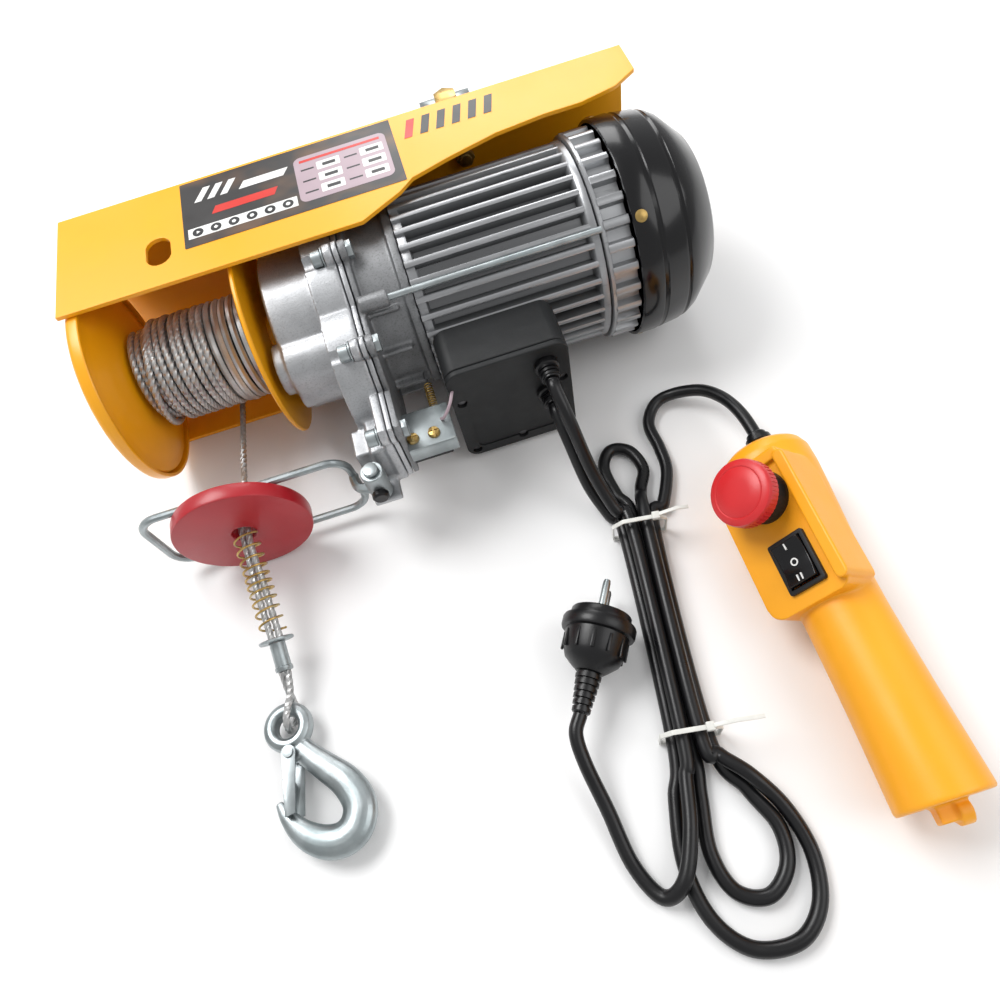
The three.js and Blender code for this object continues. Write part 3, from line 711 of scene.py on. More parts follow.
def plug_pieces():
    body = turned([
        (0, 24.6), (8.4, 24.6), (11.5, 27), (16.5, 31.5), (18.2, 36), (19.2, 44), (19.5, 48),
        (22, 48.6), (22.6, 50), (22.6, 54.6), (22, 56), (18.9, 57), (18.6, 61.2), (18, 62), (0, 62)
    ], 96)
    grips = ring_of(12, lambda: round_edges(block(18.3, 19.9, -1.0, 1.0, 35, 46), 0.4, 2))
    body = together(body, *grips)
    rings = [(0, 0.2), (4.9, 0.2)]
    for i in range(6):
        low = 1.0 + i * 3.9
        r = 5.6 + 0.42 * i
        rings += [(r, low), (r, low + 2.4), (r - 1.1, low + 2.7), (r - 1.1, low + 3.6)]
    rings += [(8.3, 24.4), (0, 24.4)]
    boot = turned(rings, 64)
    return body, boot


class HOIST_OT_cords(bpy.types.Operator):
    """Lay both cords with their glands, ties and plug"""

    bl_idname = "hoist.cords"
    bl_label = "Cords, ties and plug"

    def execute(self, context):
        heading = Matrix.Rotation(PLUG_TURN, 4, "Z") @ AXES["y"]
        turn = Matrix.Translation(row(*PLUG)) @ heading
        body, boot = plug_pieces()
        plug = finished(move(body, turn), "plug_moulding", "cord_rubber", ["plug_body"])
        boot = finished(move(boot, turn), "plug_strain_relief", "cord_rubber")
        for i, x in enumerate((-9.5, 9.5)):
            pin = turned([(0, 62.1), (2.4, 62.1), (2.4, 78.5), (1.9, 80.4), (0.9, 81), (0, 81)], 32)
            pin = move(shifted(pin, x, 0, 0), turn)
            finished(pin, f"plug_contact_{i + 1}", "zinc_steel", [f"plug_pin_{i + 1}"])
        for i, (tie, tail) in enumerate(((TIE_1, 13.0), (TIE_2, 22.0))):
            finished(
                tie_band(tie, tail), f"nylon_tie_{i + 1}", "white_plastic", [f"cable_tie_{i + 1}"])
        for i, (x, z) in enumerate(GLANDS):
            profile = [(0, -94), (5.2, -94), (5.2, -101.3), (8, -101.3), (8, -104.5), (7.2, -105.2)]
            for k in range(3):
                low = -105.4 - 2.8 * k
                profile += [
                    (6.9 - 0.25 * k, low), (6.9 - 0.25 * k, low - 1.7), (5.6, low - 1.9),
                    (5.6, low - 2.7)]
            profile += [(5.4, -114.2), (0, -114.2)]
            gland = move(turned(profile, 64), placed("y", x, 0, z))
            finished(gland, f"cord_gland_{i + 1}", "cord_rubber", [f"gland_{i + 1}"])
        lay_cord(
            "power_lead", "power_cord", POWER_CORD)
        lay_cord("control_lead", "control_cord", CONTROL_CORD)
        return {"FINISHED"}


# ---------------------------------------------------------------- frame
class HOIST_OT_frame(bpy.types.Operator):
    """Channel frame, end plate, bush and beam bracket"""

    bl_idname = "hoist.frame"
    bl_label = "Channel frame"

    def execute(self, context):
        sizes = context.scene.hoist_sizes
        finished(
            refined("channel_frame", sizes.edge_radius / MM, 3), "frame_channel", "yellow_paint",
            ["channel_frame"], flat_faces=True)
        rim = turned([
            (12.4, 0), (65, 0), (68.4, 0.6), (70.6, 2.2), (71.4, 4.4), (71.4, 9.4), (70.9, 10),
            (69.3, 10), (68.8, 9.4), (68.8, 5.2), (67.8, 3.6), (65.6, 3), (12.4, 3)
        ], 144)
        finished(move(
            rim, placed("x", END_X, 0, AXIS_Z)), "pressed_end_plate", "yellow_paint", ["end_plate"])
        bush = turned(
            [(8.3, -4), (14, -4), (15, -3.2), (15, -0.3), (12, -0.3), (12, 7), (8.3, 7)], 64)
        finished(
            move(bush, placed("x", END_X, 0, AXIS_Z)), "drum_bush", "zinc_steel", ["bearing_bush"])
        finished(refined("beam_bracket", 0.6, 3), "clamp_bracket", "zinc_steel", ["beam_bracket"])
        for node, name in (("beam_bolt", "cross_bolt"), ("bracket_screw_1", "web_bolt_1"),
                           ("bracket_screw_2", "web_bolt_2")):
            finished(refined(node, 0.4, 2, 25), name, "yellow_zinc", [node])
        return {"FINISHED"}


LABEL_X = (97.0, 245.5)
LABEL_Y = (20.5, 84.5)
LABEL_Z = WIDTH + 0.12


def ink(outline, level, name, slot):
    sheet = slab(outline, LABEL_Z + 0.08 * level, LABEL_Z + 0.08 * level + 0.12)
    move(sheet, placed("z"))
    return finished(sheet, name, "yellow_paint", finish=slot, smooth=0)


def rounded(x0, x1, y0, y1, r, per_corner=6):
    points = []
    corners = ((x1 - r, y1 - r), (x0 + r, y1 - r), (x0 + r, y0 + r), (x1 - r, y0 + r))
    for (cx, cy), start in zip(corners, (0, 90, 180, 270)):
        for i in range(per_corner + 1):
            angle = math.radians(start + 90 * i / per_corner)
            points.append((cx + r * math.cos(angle), cy + r * math.sin(angle)))
    return points


def circle(x, y, r, count=24):
    return [(x + r * math.cos(2 * math.pi * i / count), y + r * math.sin(2 * math.pi * i / count))
            for i in range(count)]


class HOIST_OT_label(bpy.types.Operator):
    """Plain rating label with blank fields and generic symbols"""

    bl_idname = "hoist.label"
    bl_label = "Label"

    def execute(self, context):
        ink(rounded(*LABEL_X, *LABEL_Y, 0.8), 0, "label_ground", "label_ground")
        ink(rounded(176, 240, 29, 74, 5), 1, "label_panel", "label_panel")
        for column, x in enumerate((192, 222)):
            for line, y in enumerate((60.5, 49, 37.5)):
                ink(
                    rounded(x - 1, x + 15, y - 4, y + 4, 0.8), 2, f"label_field_{column}{line}",
                    "label_white")
                ink(oblong(
                    x - 12, x - 3, y - 1, y + 0.4), 2, f"label_rule_{column}{line}", "label_black")
                ink(
                    oblong(x + 3, x + 12, y - 1.6, y + 1.4), 3, f"label_value_{column}{line}",
                    "label_black")
        ink(oblong(180, 236, 68, 70.4), 2, "label_heading", "label_red")
        ink(oblong(100, 174, 28, 37.5), 1, "label_strip", "label_white")
        for i in range(6):
            ink(circle(106.5 + 12.2 * i, 32.7, 3.7), 2, f"label_symbol_{i}", "label_black")
            ink(circle(106.5 + 12.2 * i, 32.7, 1.6, 3 + i), 3, f"label_sign_{i}", "label_white")
        for i in range(3):
            x = 106 + 9 * i
            ink(oblong(x, x + 5, 62, 75, 7), 1, f"label_stripe_{i}", "label_white")
        ink(oblong(137, 168, 62, 69, 4), 1, "label_bar", "label_white")
        ink(oblong(117, 160, 46, 53, 3), 1, "label_bar_red", "label_red")
        for i in range(6):
            x = 252 + 11 * i
            shade = "label_red" if i == 0 else "label_black"
            ink(oblong(x, x + 5.5, 60, 78, 5), 0, f"side_stripe_{i}", shade)
        return {"FINISHED"}


# ---------------------------------------------------------------- drum and rope
ROPE_X = 72.6
DISC_Y = -120.0
DISC_Z = 46.0
WASHER = Vector((77.5, -203.0, 27.0))
FERRULE_END = Vector((78.1, -222.0, 20.7))
CHAIN_TOP = Vector((ROPE_X, DISC_Y - 11, DISC_Z))


def helix(radius, pitch, low, high, phase=0.0, step=3.6):
    points = []
    turns = (high - low) / pitch
    count = int(turns * 360 / step)
    for i in range(count + 1):
        turn = turns * i / count
        angle = 2 * math.pi * turn + phase
        wander = 0.35 * math.sin(angle * 0.37) + 0.25 * math.sin(angle * 1.31)
        swell = 0.3 * math.sin(angle * 0.53 + 1.0)
        x = low + pitch * turn + wander
        points.append(
            row(x, (radius + swell) * math.cos(angle), AXIS_Z + (radius + swell) * math.sin(angle)))
    return points


def chain(share):
    return CHAIN_TOP + (WASHER - CHAIN_TOP) * share


def toward(start, end):
    """Matrix that puts Z on the line from start to end, with the start as its origin."""
    direction = (end - start).normalized()
    return Matrix.Translation(row(*start)) @ direction.to_track_quat("Z", "Y").to_matrix().to_4x4()


class HOIST_OT_drum(bpy.types.Operator):
    """Rope drum with its flanges and the wound rope"""

    bl_idname = "hoist.drum"
    bl_label = "Drum and winding"

    def execute(self, context):
        sizes = context.scene.hoist_sizes
        drum = turned([
            (10.4, 26), (16, 26), (44, 23), (58, 18), (62, 17), (66.4, 17), (67, 17.5), (67, 19),
            (66.4, 19.5), (63, 19.7), (59, 21), (45, 26), (22, 28.4), (20, 29.5), (20, 118.5),
            (21, 119.5), (67.6, 119.5), (68.5, 120.3), (68.5, 121.7), (67.6, 122.5), (16, 122.5),
            (16, 130), (10.4, 130)
        ], 144)
        finished(move(drum, ON_AXIS), "drum_body", "yellow_paint", ["drum"], body="drum")
        radius = sizes.rope_diameter / 2
        outer = laid(helix(34.2, sizes.rope_pitch / MM, 46.0, 117.0), radius * 1.12)
        under = laid(helix(30.4, 5.0, 32.5, 117.0, 1.0), radius * 1.08)
        loose = []
        for i in range(240):
            angle = math.radians(1.5 * i)
            x = 41.5 + 5.5 * math.sin(angle + 0.5)
            r = 34.6 - 1.2 * math.cos(angle)
            loose.append(row(x, r * math.cos(angle), AXIS_Z + r * math.sin(angle)))
        finished(laid(loose + loose[:1], radius * 1.08), "stray_turn", "wire_rope", body="drum")
        finished(outer, "wound_rope", "wire_rope", ["rope_winding"], body="drum")
        finished(under, "wound_rope_under", "wire_rope", body="drum")
        return {"FINISHED"}


class HOIST_OT_rope(bpy.types.Operator):
    """Rope run, stop spring, washer, ferrule and eye loop"""

    bl_idname = "hoist.rope"
    bl_label = "Rope run and stop spring"

    def execute(self, context):
        radius = context.scene.hoist_sizes.rope_diameter / 2
        start = Vector((80, -3.3, 36))
        run = [start, Vector((ROPE_X + 2.7, DISC_Y, DISC_Z)), chain(0.5) + Vector((2.7, 0, 0)),
               WASHER + Vector((2.7, 0, 0))]
        fall = laid(through(run, 30), radius)
        finished(fall, "rope_run", "wire_rope", ["rope_fall"], body=None)
        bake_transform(fall)
        tail = [
            Vector((ROPE_X - 6.5, DISC_Y + 22, DISC_Z + 3)), Vector((ROPE_X - 2.7, DISC_Y, DISC_Z)),
            chain(0.5) - Vector((2.7, 0, 0)), WASHER - Vector((2.7, 0, 0))]
        dead = laid(through(tail, 24), radius)
        finished(dead, "rope_dead_end", "wire_rope", ["rope_tail"], body="hook_fall")

        length = (WASHER - CHAIN_TOP).length
        coil = []
        turns = 10.0
        for i in range(int(turns * 24) + 1):
            angle = 2 * math.pi * i / 24
            share = i / (turns * 24)
            settle = share + 0.035 * math.sin(2 * math.pi * share)
            reach = 1.6 + (0.94 * length - 3.2) * settle
            coil.append(Vector((7.9 * math.cos(angle), 7.9 * math.sin(angle), reach)) * MM)
        spring = swept(coil, 0.75 * MM)
        finished(
            move(spring, toward(CHAIN_TOP, WASHER)), "stop_coil", "yellow_zinc", ["stop_spring"],
            body=None)
        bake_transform(spring)

        along = toward(WASHER, FERRULE_END)
        washer = turned(
            [(5.5, -1.0), (10.6, -1.0), (11, -0.6), (11, 0.5), (10.6, 0.9), (5.5, 0.9)], 64)
        finished(
            move(washer, along), "spring_seat", "zinc_steel", ["stop_washer"], body="hook_fall")
        ferrule = turned([
            (0, 1.2), (4.7, 1.2), (5.0, 1.6), (5.0, 16.6), (5.6, 17), (5.6, 19.2), (5.2, 19.8),
            (0, 19.8)
        ], 48)
        finished(
            move(ferrule, along), "pressed_ferrule", "zinc_steel", ["rope_ferrule"],
            body="hook_fall")
        loop = [
            (80.1, -221.5, 21), (79.6, -236, 20.5), (77.6, -244, 21.8), (75.5, -250, 21.4),
            (74, -255, 18.5), (73.4, -257.4, 12), (73.8, -255, 5.4), (75, -248.5, 2.9),
            (75.6, -241, 3.4), (75.6, -236.5, 6.2), (75.6, -231, 13.5), (75.8, -221.5, 20.4)
        ]
        eye = laid(through(loop, 10), radius * 0.98)
        finished(eye, "eye_loop", "wire_rope", ["rope_loop"], body="hook_fall")
        disc = turned([
            (8, 0.6), (8.6, 0), (43.6, 0), (44.6, 0.5), (45, 1.6), (45, 9.4), (44.6, 10.5),
            (43.6, 11), (8.6, 11), (8, 10.4)
        ], 144)
        finished(move(disc, placed("y", ROPE_X, DISC_Y - 11, DISC_Z)), "stop_disc", "red_paint",
                 ["limit_disc"], body="disc")
        return {"FINISHED"}


# ---------------------------------------------------------------- gear case and motor
COUNTER_Y = -48.0
BOSS = (-45.6, 14.6)
BOLTS = ((-14.0, 141.0), (-76.0, 120.0), (-121.0, 90.0))
TIE = (-48.0, 126.0)
COVER_R = 72.2


def lobe(radius, low, high):
    return [rod(radius, low, high, 96), shifted(rod(radius - 17, low, high, 96), COUNTER_Y)]


def bolt_lugs(radius, low, high, segments=48):
    """Round lugs at the case bolts, in the drum axis's own plane."""
    return [shifted(rod(radius, low, high, segments), y, z - AXIS_Z) for y, z in BOLTS]


def lump(y0, y1, z0, z1, x0, x1):
    return block(y0, y1, z0 - AXIS_Z, z1 - AXIS_Z, x0, x1)


class HOIST_OT_gear_case(bpy.types.Operator):
    """Cast gear case and motor shield with their bolts"""

    bl_idname = "hoist.gear_case"
    bl_label = "Gear case"

    def execute(self, context):
        shells = [rod(55, 134, 168, 96), shifted(rod(17, 134, 168, 64), COUNTER_Y),
                  shifted(rod(17, 127.5, 136, 64), BOSS[0], BOSS[1]),
                  shifted(rod(19.5, 135, 168, 64), BOSS[0], BOSS[1]), *lobe(66, 166, 187)]
        shells += [rod(52, 132.6, 135, 96), rod(22, 130.5, 134, 64)]
        shells += bolt_lugs(7.2, 181, 187)
        shells += [lump(-124, -95, 44, 98, 181, 187), lump(-123, -92, 44, 78, 171, 187),
                   lump(-118, -98, 50, 72, 160, 181), lump(-139, -122, 40, 44.5, 161, 180),
                   lump(-124, -95, 40, 46, 171, 187)]
        case = cast(move(together(*shells), ON_AXIS), 1.1, 3, 0.5)
        bores = [move(rod(10.6, 126, 141, 48), ON_AXIS)]
        bores += [move(rod(6.2, 150, 181, 32), placed("x", 0, y, z)) for y, z in BOLTS[:2]]
        finished(cut(case, *bores), "case_casting", "cast_aluminium", ["gear_case"], smooth=50)

        rims = [*lobe(66.4, 187.4, 190.6), *bolt_lugs(7.4, 187.4, 190.6), lump(
            -124.6, -95, 44, 98.4, 187.4, 190.6)]
        flange = cast(move(together(*rims), ON_AXIS), 0.7, 2, 0.5)
        finished(flange, "joint_flange", "cast_aluminium", smooth=50)

        neck = [*lobe(65.6, 191.2, 195), rod(60, 193, 226.9, 96), rod(63, 221, 226.9, 96),
                *bolt_lugs(7, 191.2, 196), lump(-124, -95, 44, 98, 191.2, 195),
                shifted(rod(5.6, 193, 212, 48), TIE[0], TIE[1] - AXIS_Z)]
        for angle in (140, 165, 195, 215, 240):
            web = block(52, 66, -1.6, 1.6, 194, 216)
            neck.append(move(web, Matrix.Rotation(math.radians(angle), 4, "Z")))
        shield = cast(move(together(*neck), ON_AXIS), 1.1, 3, 0.5)
        finished(
            shield, "shield_casting", "cast_aluminium", ["motor_shield"], "grey_casting", smooth=50)

        for i, (y, z) in enumerate(BOLTS):
            head = turned([
                (0, 175.4), (2.6, 175.4), (2.9, 173), (5.1, 173), (5.5, 173.5), (5.5, 179.2),
                (4, 179.3), (4, 180), (6.6, 180), (6.6, 180.9), (3, 181), (3, 196.8), (0, 196.8)
            ], 32)
            nut = round_edges(slab(circle(0, 0, 6.1, 6), 195.3, 199.6), 0.5, 2)
            finished(
                move(together(head, nut), placed("x", 0, y, z)), f"case_screw_{i + 1}",
                "zinc_steel", [f"case_bolt_{i + 1}"])
        return {"FINISHED"}


def ribs(count, base, tip, share):
    """Outline of axial ribs that take up a share of their step."""
    outline = []
    step = 2 * math.pi / count
    for i in range(count):
        a, b = (i - share / 2) * step, (i + share / 2) * step
        lean = 0.16 * (b - a)
        gap = step - b + a
        outline += [
            (base, a), (tip - 0.5, a + lean), (tip, a + 2 * lean), (tip, b - 2 * lean),
            (tip - 0.5, b - lean), (base, b), (base - 0.2, b + 0.33 * gap),
            (base - 0.2, b + 0.66 * gap)
        ]
    return [(r * math.cos(t), r * math.sin(t)) for r, t in outline]


class HOIST_OT_motor(bpy.types.Operator):
    """Ribbed motor body, rear shield, tie rod and fan cover"""

    bl_idname = "hoist.motor"
    bl_label = "Motor"

    def execute(self, context):
        count = context.scene.hoist_sizes.cooling_ribs
        body = cut(slab(ribs(count, 59.5, 67, 0.48), 227.4, 349.6), rod(54, 220, 356, 96))
        lip = turned(
            [(54, 227.4), (63.5, 227.4), (64.2, 228.4), (64.2, 233), (60, 234.5), (54, 234.5)], 96)
        tail = turned(
            [(54, 342), (62, 342.5), (66.4, 344.5), (67.4, 346), (67.4, 349.4), (54, 349.6)], 96)
        motor = move(together(body, lip, tail), ON_AXIS)
        finished(motor, "motor_ribs", "cast_aluminium", ["motor_body"], "ribbed_casting", smooth=40)
        band = cut(slab(ribs(30, 66.2, 71, 0.52), 352.8, 369.4), rod(54, 350, 380, 96))
        flange = turned(
            [(54, 350.3), (69.5, 350.3), (70.2, 350.9), (70.2, 353), (69, 353.6), (54, 353.6)], 96)
        rear = move(together(band, flange), ON_AXIS)
        finished(
            rear, "rear_shield_ribs", "cast_aluminium", ["rear_shield"], "ribbed_casting",
            smooth=40)
        profile = [
            (72.2, 370.4), (74.2, 370.4), (74.5, 371), (74.5, 384), (74.1, 385), (73.3, 385.4),
            (73.3, 387.6), (73.9, 388.4), (73.6, 389.6), (72.2, 401), (71.4, 402.6), (70.6, 402.8),
            (70.6, 404.4), (71, 405.2), (70.4, 407), (67, 412.5), (52, 427), (49, 428.6), (44, 429),
            (0, 429), (0, 426.6), (44, 426.6), (48, 426), (65, 410), (68.6, 403), (71.4, 385),
            (72, 376)
        ]
        cover = turned(profile, 144)
        slots = []
        for inner, outer, number in ((24, 42, 16), (8, 19, 8)):
            outline = rounded(inner, outer, -1.7, 1.7, 1.6, 4)
            slots += ring_of(number, lambda: slab(outline, 424, 432))
        cover = cut(cover, together(*slots))
        finished(move(cover, ON_AXIS), "fan_shroud", "gloss_black", ["fan_cover"])
        tie = turned([(0, 211.5), (2.2, 211.5), (2.2, 351), (0, 351)], 24)
        finished(move(tie, placed("x", 0, *TIE)), "tie_stud", "zinc_steel", ["tie_rod"])
        for i, angle in enumerate((133, 47, 227, 313)):
            out = Vector((0, math.cos(math.radians(angle)), math.sin(math.radians(angle))))
            screw = turned([
                (0, 0), (2.2, 0), (2.2, 1.2), (4.2, 1.4), (3.9, 2.6), (2.2, 3.3), (0.8, 3.5),
                (0, 3.5)
            ], 32)
            seat = row(376, COVER_R * out.y, AXIS_Z + COVER_R * out.z)
            move(screw, Matrix.Translation(seat) @ out.to_track_quat("Z", "Y").to_matrix().to_4x4())
            finished(screw, f"cover_screw_{i + 1}", "yellow_zinc")
        return {"FINISHED"}


# ---------------------------------------------------------------- box, switch and lever
BOX_X = (229.0, 310.0)
LID_SCREWS = ((235.6, 68.0), (270.7, 13.0), (304.0, 64.0), (236.0, 12.0))
HUB = (168.0, -132.0)


def box_slab(inset, z0, z1, corner, low, high):
    """A slab with rounded corners across the control box, before it is laid on the Y axis."""
    outline = rounded(BOX_X[0] + inset, BOX_X[1] - inset, z0, z1, corner)
    return slab([(z, x) for x, z in outline], low, high)


class HOIST_OT_control_box(bpy.types.Operator):
    """Control box with its lid and lid screws"""

    bl_idname = "hoist.control_box"
    bl_label = "Control box"

    def execute(self, context):
        shell = round_edges(box_slab(0, 5, 99, 9, -96.5, -60), 1.2, 3, 50)
        hollow = box_slab(3, 8, 96, 6, -99, -74)
        shell = cut(move(shell, placed("y")), move(hollow, placed("y")))
        motor = move(rod(67.3, 200, 330, 128), ON_AXIS)
        finished(cut(shell, motor), "box_shell", "box_plastic", ["control_box"], flat_faces=True)
        lid = round_edges(box_slab(0, 5, 99, 9, -101, -96.8), 1.0, 3, 50)
        lid = cut(lid, box_slab(9, 14, 90, 5, -102, -100.2))
        wells = [shifted(rod(3.5, -102, -98.2, 24), z, x) for x, z in LID_SCREWS]
        openings = [shifted(rod(5.6, -105, -90, 32), z, x) for x, z in GLANDS]
        lid = cut(lid, together(*wells), together(*openings))
        finished(move(lid, placed("y")), "box_cover", "box_plastic", ["box_lid"], flat_faces=True)
        for i, (x, z) in enumerate(LID_SCREWS):
            screw = turned([(0, -99.0), (1.0, -99.2), (2.6, -99.0), (2.8, -98.3), (0, -98.3)], 24)
            finished(move(screw, placed("y", x, 0, z)), f"lid_screw_{i + 1}", "zinc_steel",
                     finish="core_iron")
        return {"FINISHED"}


class HOIST_OT_switch(bpy.types.Operator):
    """Limit switch on its bracket, return spring, wire and the wire loop lever"""

    bl_idname = "hoist.switch"
    bl_label = "Limit switch and lever"

    def execute(self, context):
        plate = round_edges(slab(rounded(194.4, 226, -127, -98, 2), 71.2, 73), 0.4, 2)
        lip = round_edges(block(194.4, 226, -127, -125.2, 60, 72.4), 0.4, 2)
        bracket = move(together(plate, lip), placed("z"))
        finished(bracket, "switch_plate", "zinc_steel", ["switch_bracket"])
        finished(refined("limit_switch", 0.7, 3), "micro_switch", "box_plastic", ["limit_switch"])
        for i, x in enumerate((199, 213)):
            screw = turned(
                [(0, 73), (3.9, 73), (4.1, 73.6), (3.4, 75.6), (1.2, 76.2), (0, 76.2)], 32)
            slit = block(-5, 5, -0.6, 0.6, 75.2, 78)
            cross = block(-0.6, 0.6, -5, 5, 75.2, 78)
            finished(
                move(cut(screw, slit, cross), placed("z", x, -119, 0)), f"plate_screw_{i + 1}",
                "yellow_zinc")
        coil = []
        for i in range(13 * 16 + 1):
            angle = 2 * math.pi * i / 16
            coil.append(row(
                217 + 2.5 * math.cos(angle), -75 - 28 * i / (13 * 16), 66 + 2.5 * math.sin(angle)))
        finished(swept(coil, 0.5 * MM, 8), "return_coil", "yellow_zinc", ["return_spring"])
        wire = [
            (219, -108.5, 71), (222, -112, 76), (228, -108, 82), (232, -100, 84), (233, -96, 80)
        ]
        finished(
            swept(through(wire), 1.1 * MM, 10), "switch_wire", "button_red", finish="label_panel")

        x0, x1, z0, z1, r = 12.0, 152.0, 12.0, 72.0, 14.0
        ring = [(x, -116.0, z) for x, z in rounded(x0, x1, z0, z1, r, 8)]
        start = [(x1, -116, 42), (x1, -116, 52)]
        line = [row(*p) for p in start + ring + [start[0]]]
        loop = swept(line, 2.75 * MM, 16)
        hub = turned([(3.4, 46.4), (6.9, 46.4), (7.5, 47), (7.5, 71.4), (6.9, 72), (3.4, 72)], 48)
        hub = move(hub, placed("z", *HUB, 0))
        arm = swept(through(
            ((152, -116, 50), (152.5, -121, 50.5), (155, -128, 52), (163, -132, 53))), 3.4 * MM, 16)
        knee = swept(through(
            ((152, -116, 37), (152.2, -118, 40), (153, -123, 47), (158, -130, 51))), 2.75 * MM, 16)
        finished(
            together(loop, hub, arm, knee), "wire_loop", "zinc_steel", ["limit_lever"],
            body="lever")
        finished(refined("lever_pin", 0.4, 2), "hub_pin", "zinc_steel", ["lever_pin"])
        bumper = turned([(0, -143.9), (4.3, -143.9), (5.5, -142.6), (5.5, -139.8), (0, -139.8)], 40)
        finished(
            move(bumper, placed("y", HUB[0], 0, 56)), "rubber_tip", "cord_rubber", ["lever_bumper"],
            body="lever")
        return {"FINISHED"}


# ---------------------------------------------------------------- hook
EYE = (72.6, -255.0, 12.0)
LATCH = (73.0, -272.0)
HOOK_LINE = [
    (77, -266), (82, -274), (91.5, -284.5), (103, -297.5), (108.4, -311.5), (104.5, -322.8),
    (95.3, -327.6), (83.7, -325.5), (72.8, -317.7), (65.2, -307), (60.6, -297.5)
]
HOOK_SIZE = [6.4, 7.4, 8.4, 9.6, 10.4, 10.6, 10.2, 9.4, 7.6, 5.0, 2.2]


def hook_body():
    """Forged bowl: a bar that swells towards its back and tapers to the tip, under its eye ring."""
    line = flowing([row(x, y, EYE[2]) for x, y in HOOK_LINE], 5)
    sizes = flowing([Vector((s, 0, 0)) for s in HOOK_SIZE], 5)
    bar = bar_curve(line, MM, 8)
    for point, size in zip(bar.data.splines[0].points, sizes):
        point.radius = size.x
    meshed(bar)
    middle = Matrix.Translation((0, 0, EYE[2] * MM))
    bar.data.transform(middle @ Matrix.Diagonal((1, 1, 0.64, 1)) @ middle.inverted())
    ring = turned([
        (7.2, -3.5), (9, -5.4), (11.5, -5.6), (14.3, -4.2), (15.5, -1.5), (15.5, 1.5), (14.3, 4.2),
        (11.5, 5.6), (9, 5.4), (7.2, 3.5)
    ], 64)
    move(ring, placed("z", EYE[0], EYE[1], EYE[2]))
    lug = move(round_edges(
        rod(7.2, -4.4, 4.4, 40), 1.5, 3), placed("z", LATCH[0] + 2, LATCH[1] + 2, EYE[2]))
    body = cast(together(bar, ring, lug), 0.6, 4, 0.6)
    return cut(body, move(rod(7.0, -12, 12, 48), placed("z", EYE[0], EYE[1], EYE[2])))


class HOIST_OT_hook(bpy.types.Operator):
    """Forged load hook with its sheet latch and pin"""

    bl_idname = "hoist.hook"
    bl_label = "Load hook"

    def execute(self, context):
        finished(hook_body(), "forged_hook", "zinc_steel", ["hook"], smooth=60, body="hook")
        finished(
            refined("hook_latch", 0.3, 2), "sheet_latch", "zinc_steel", ["hook_latch"],
            body="latch")
        pin = turned([
            (0, 1.6), (3.2, 1.9), (3.2, 3.2), (2, 3.3), (2, 20.6), (3.2, 20.7), (3.2, 21.6), (0, 22)
        ], 32)
        finished(
            move(pin, placed("z", *LATCH, 0)), "latch_rivet", "zinc_steel", ["latch_pin"],
            body="hook")
        return {"FINISHED"}


# ---------------------------------------------------------------- pendant
PANEL = 31.0
GRIP_X = 408.5
STOP_Y = -222.0
ROCKER_Y = -266.0
DIAGONAL = Matrix.Translation(
    row(PENDANT[0], 0, PENDANT[1])) @ Matrix.Rotation(-math.pi / 4, 4, "Y")


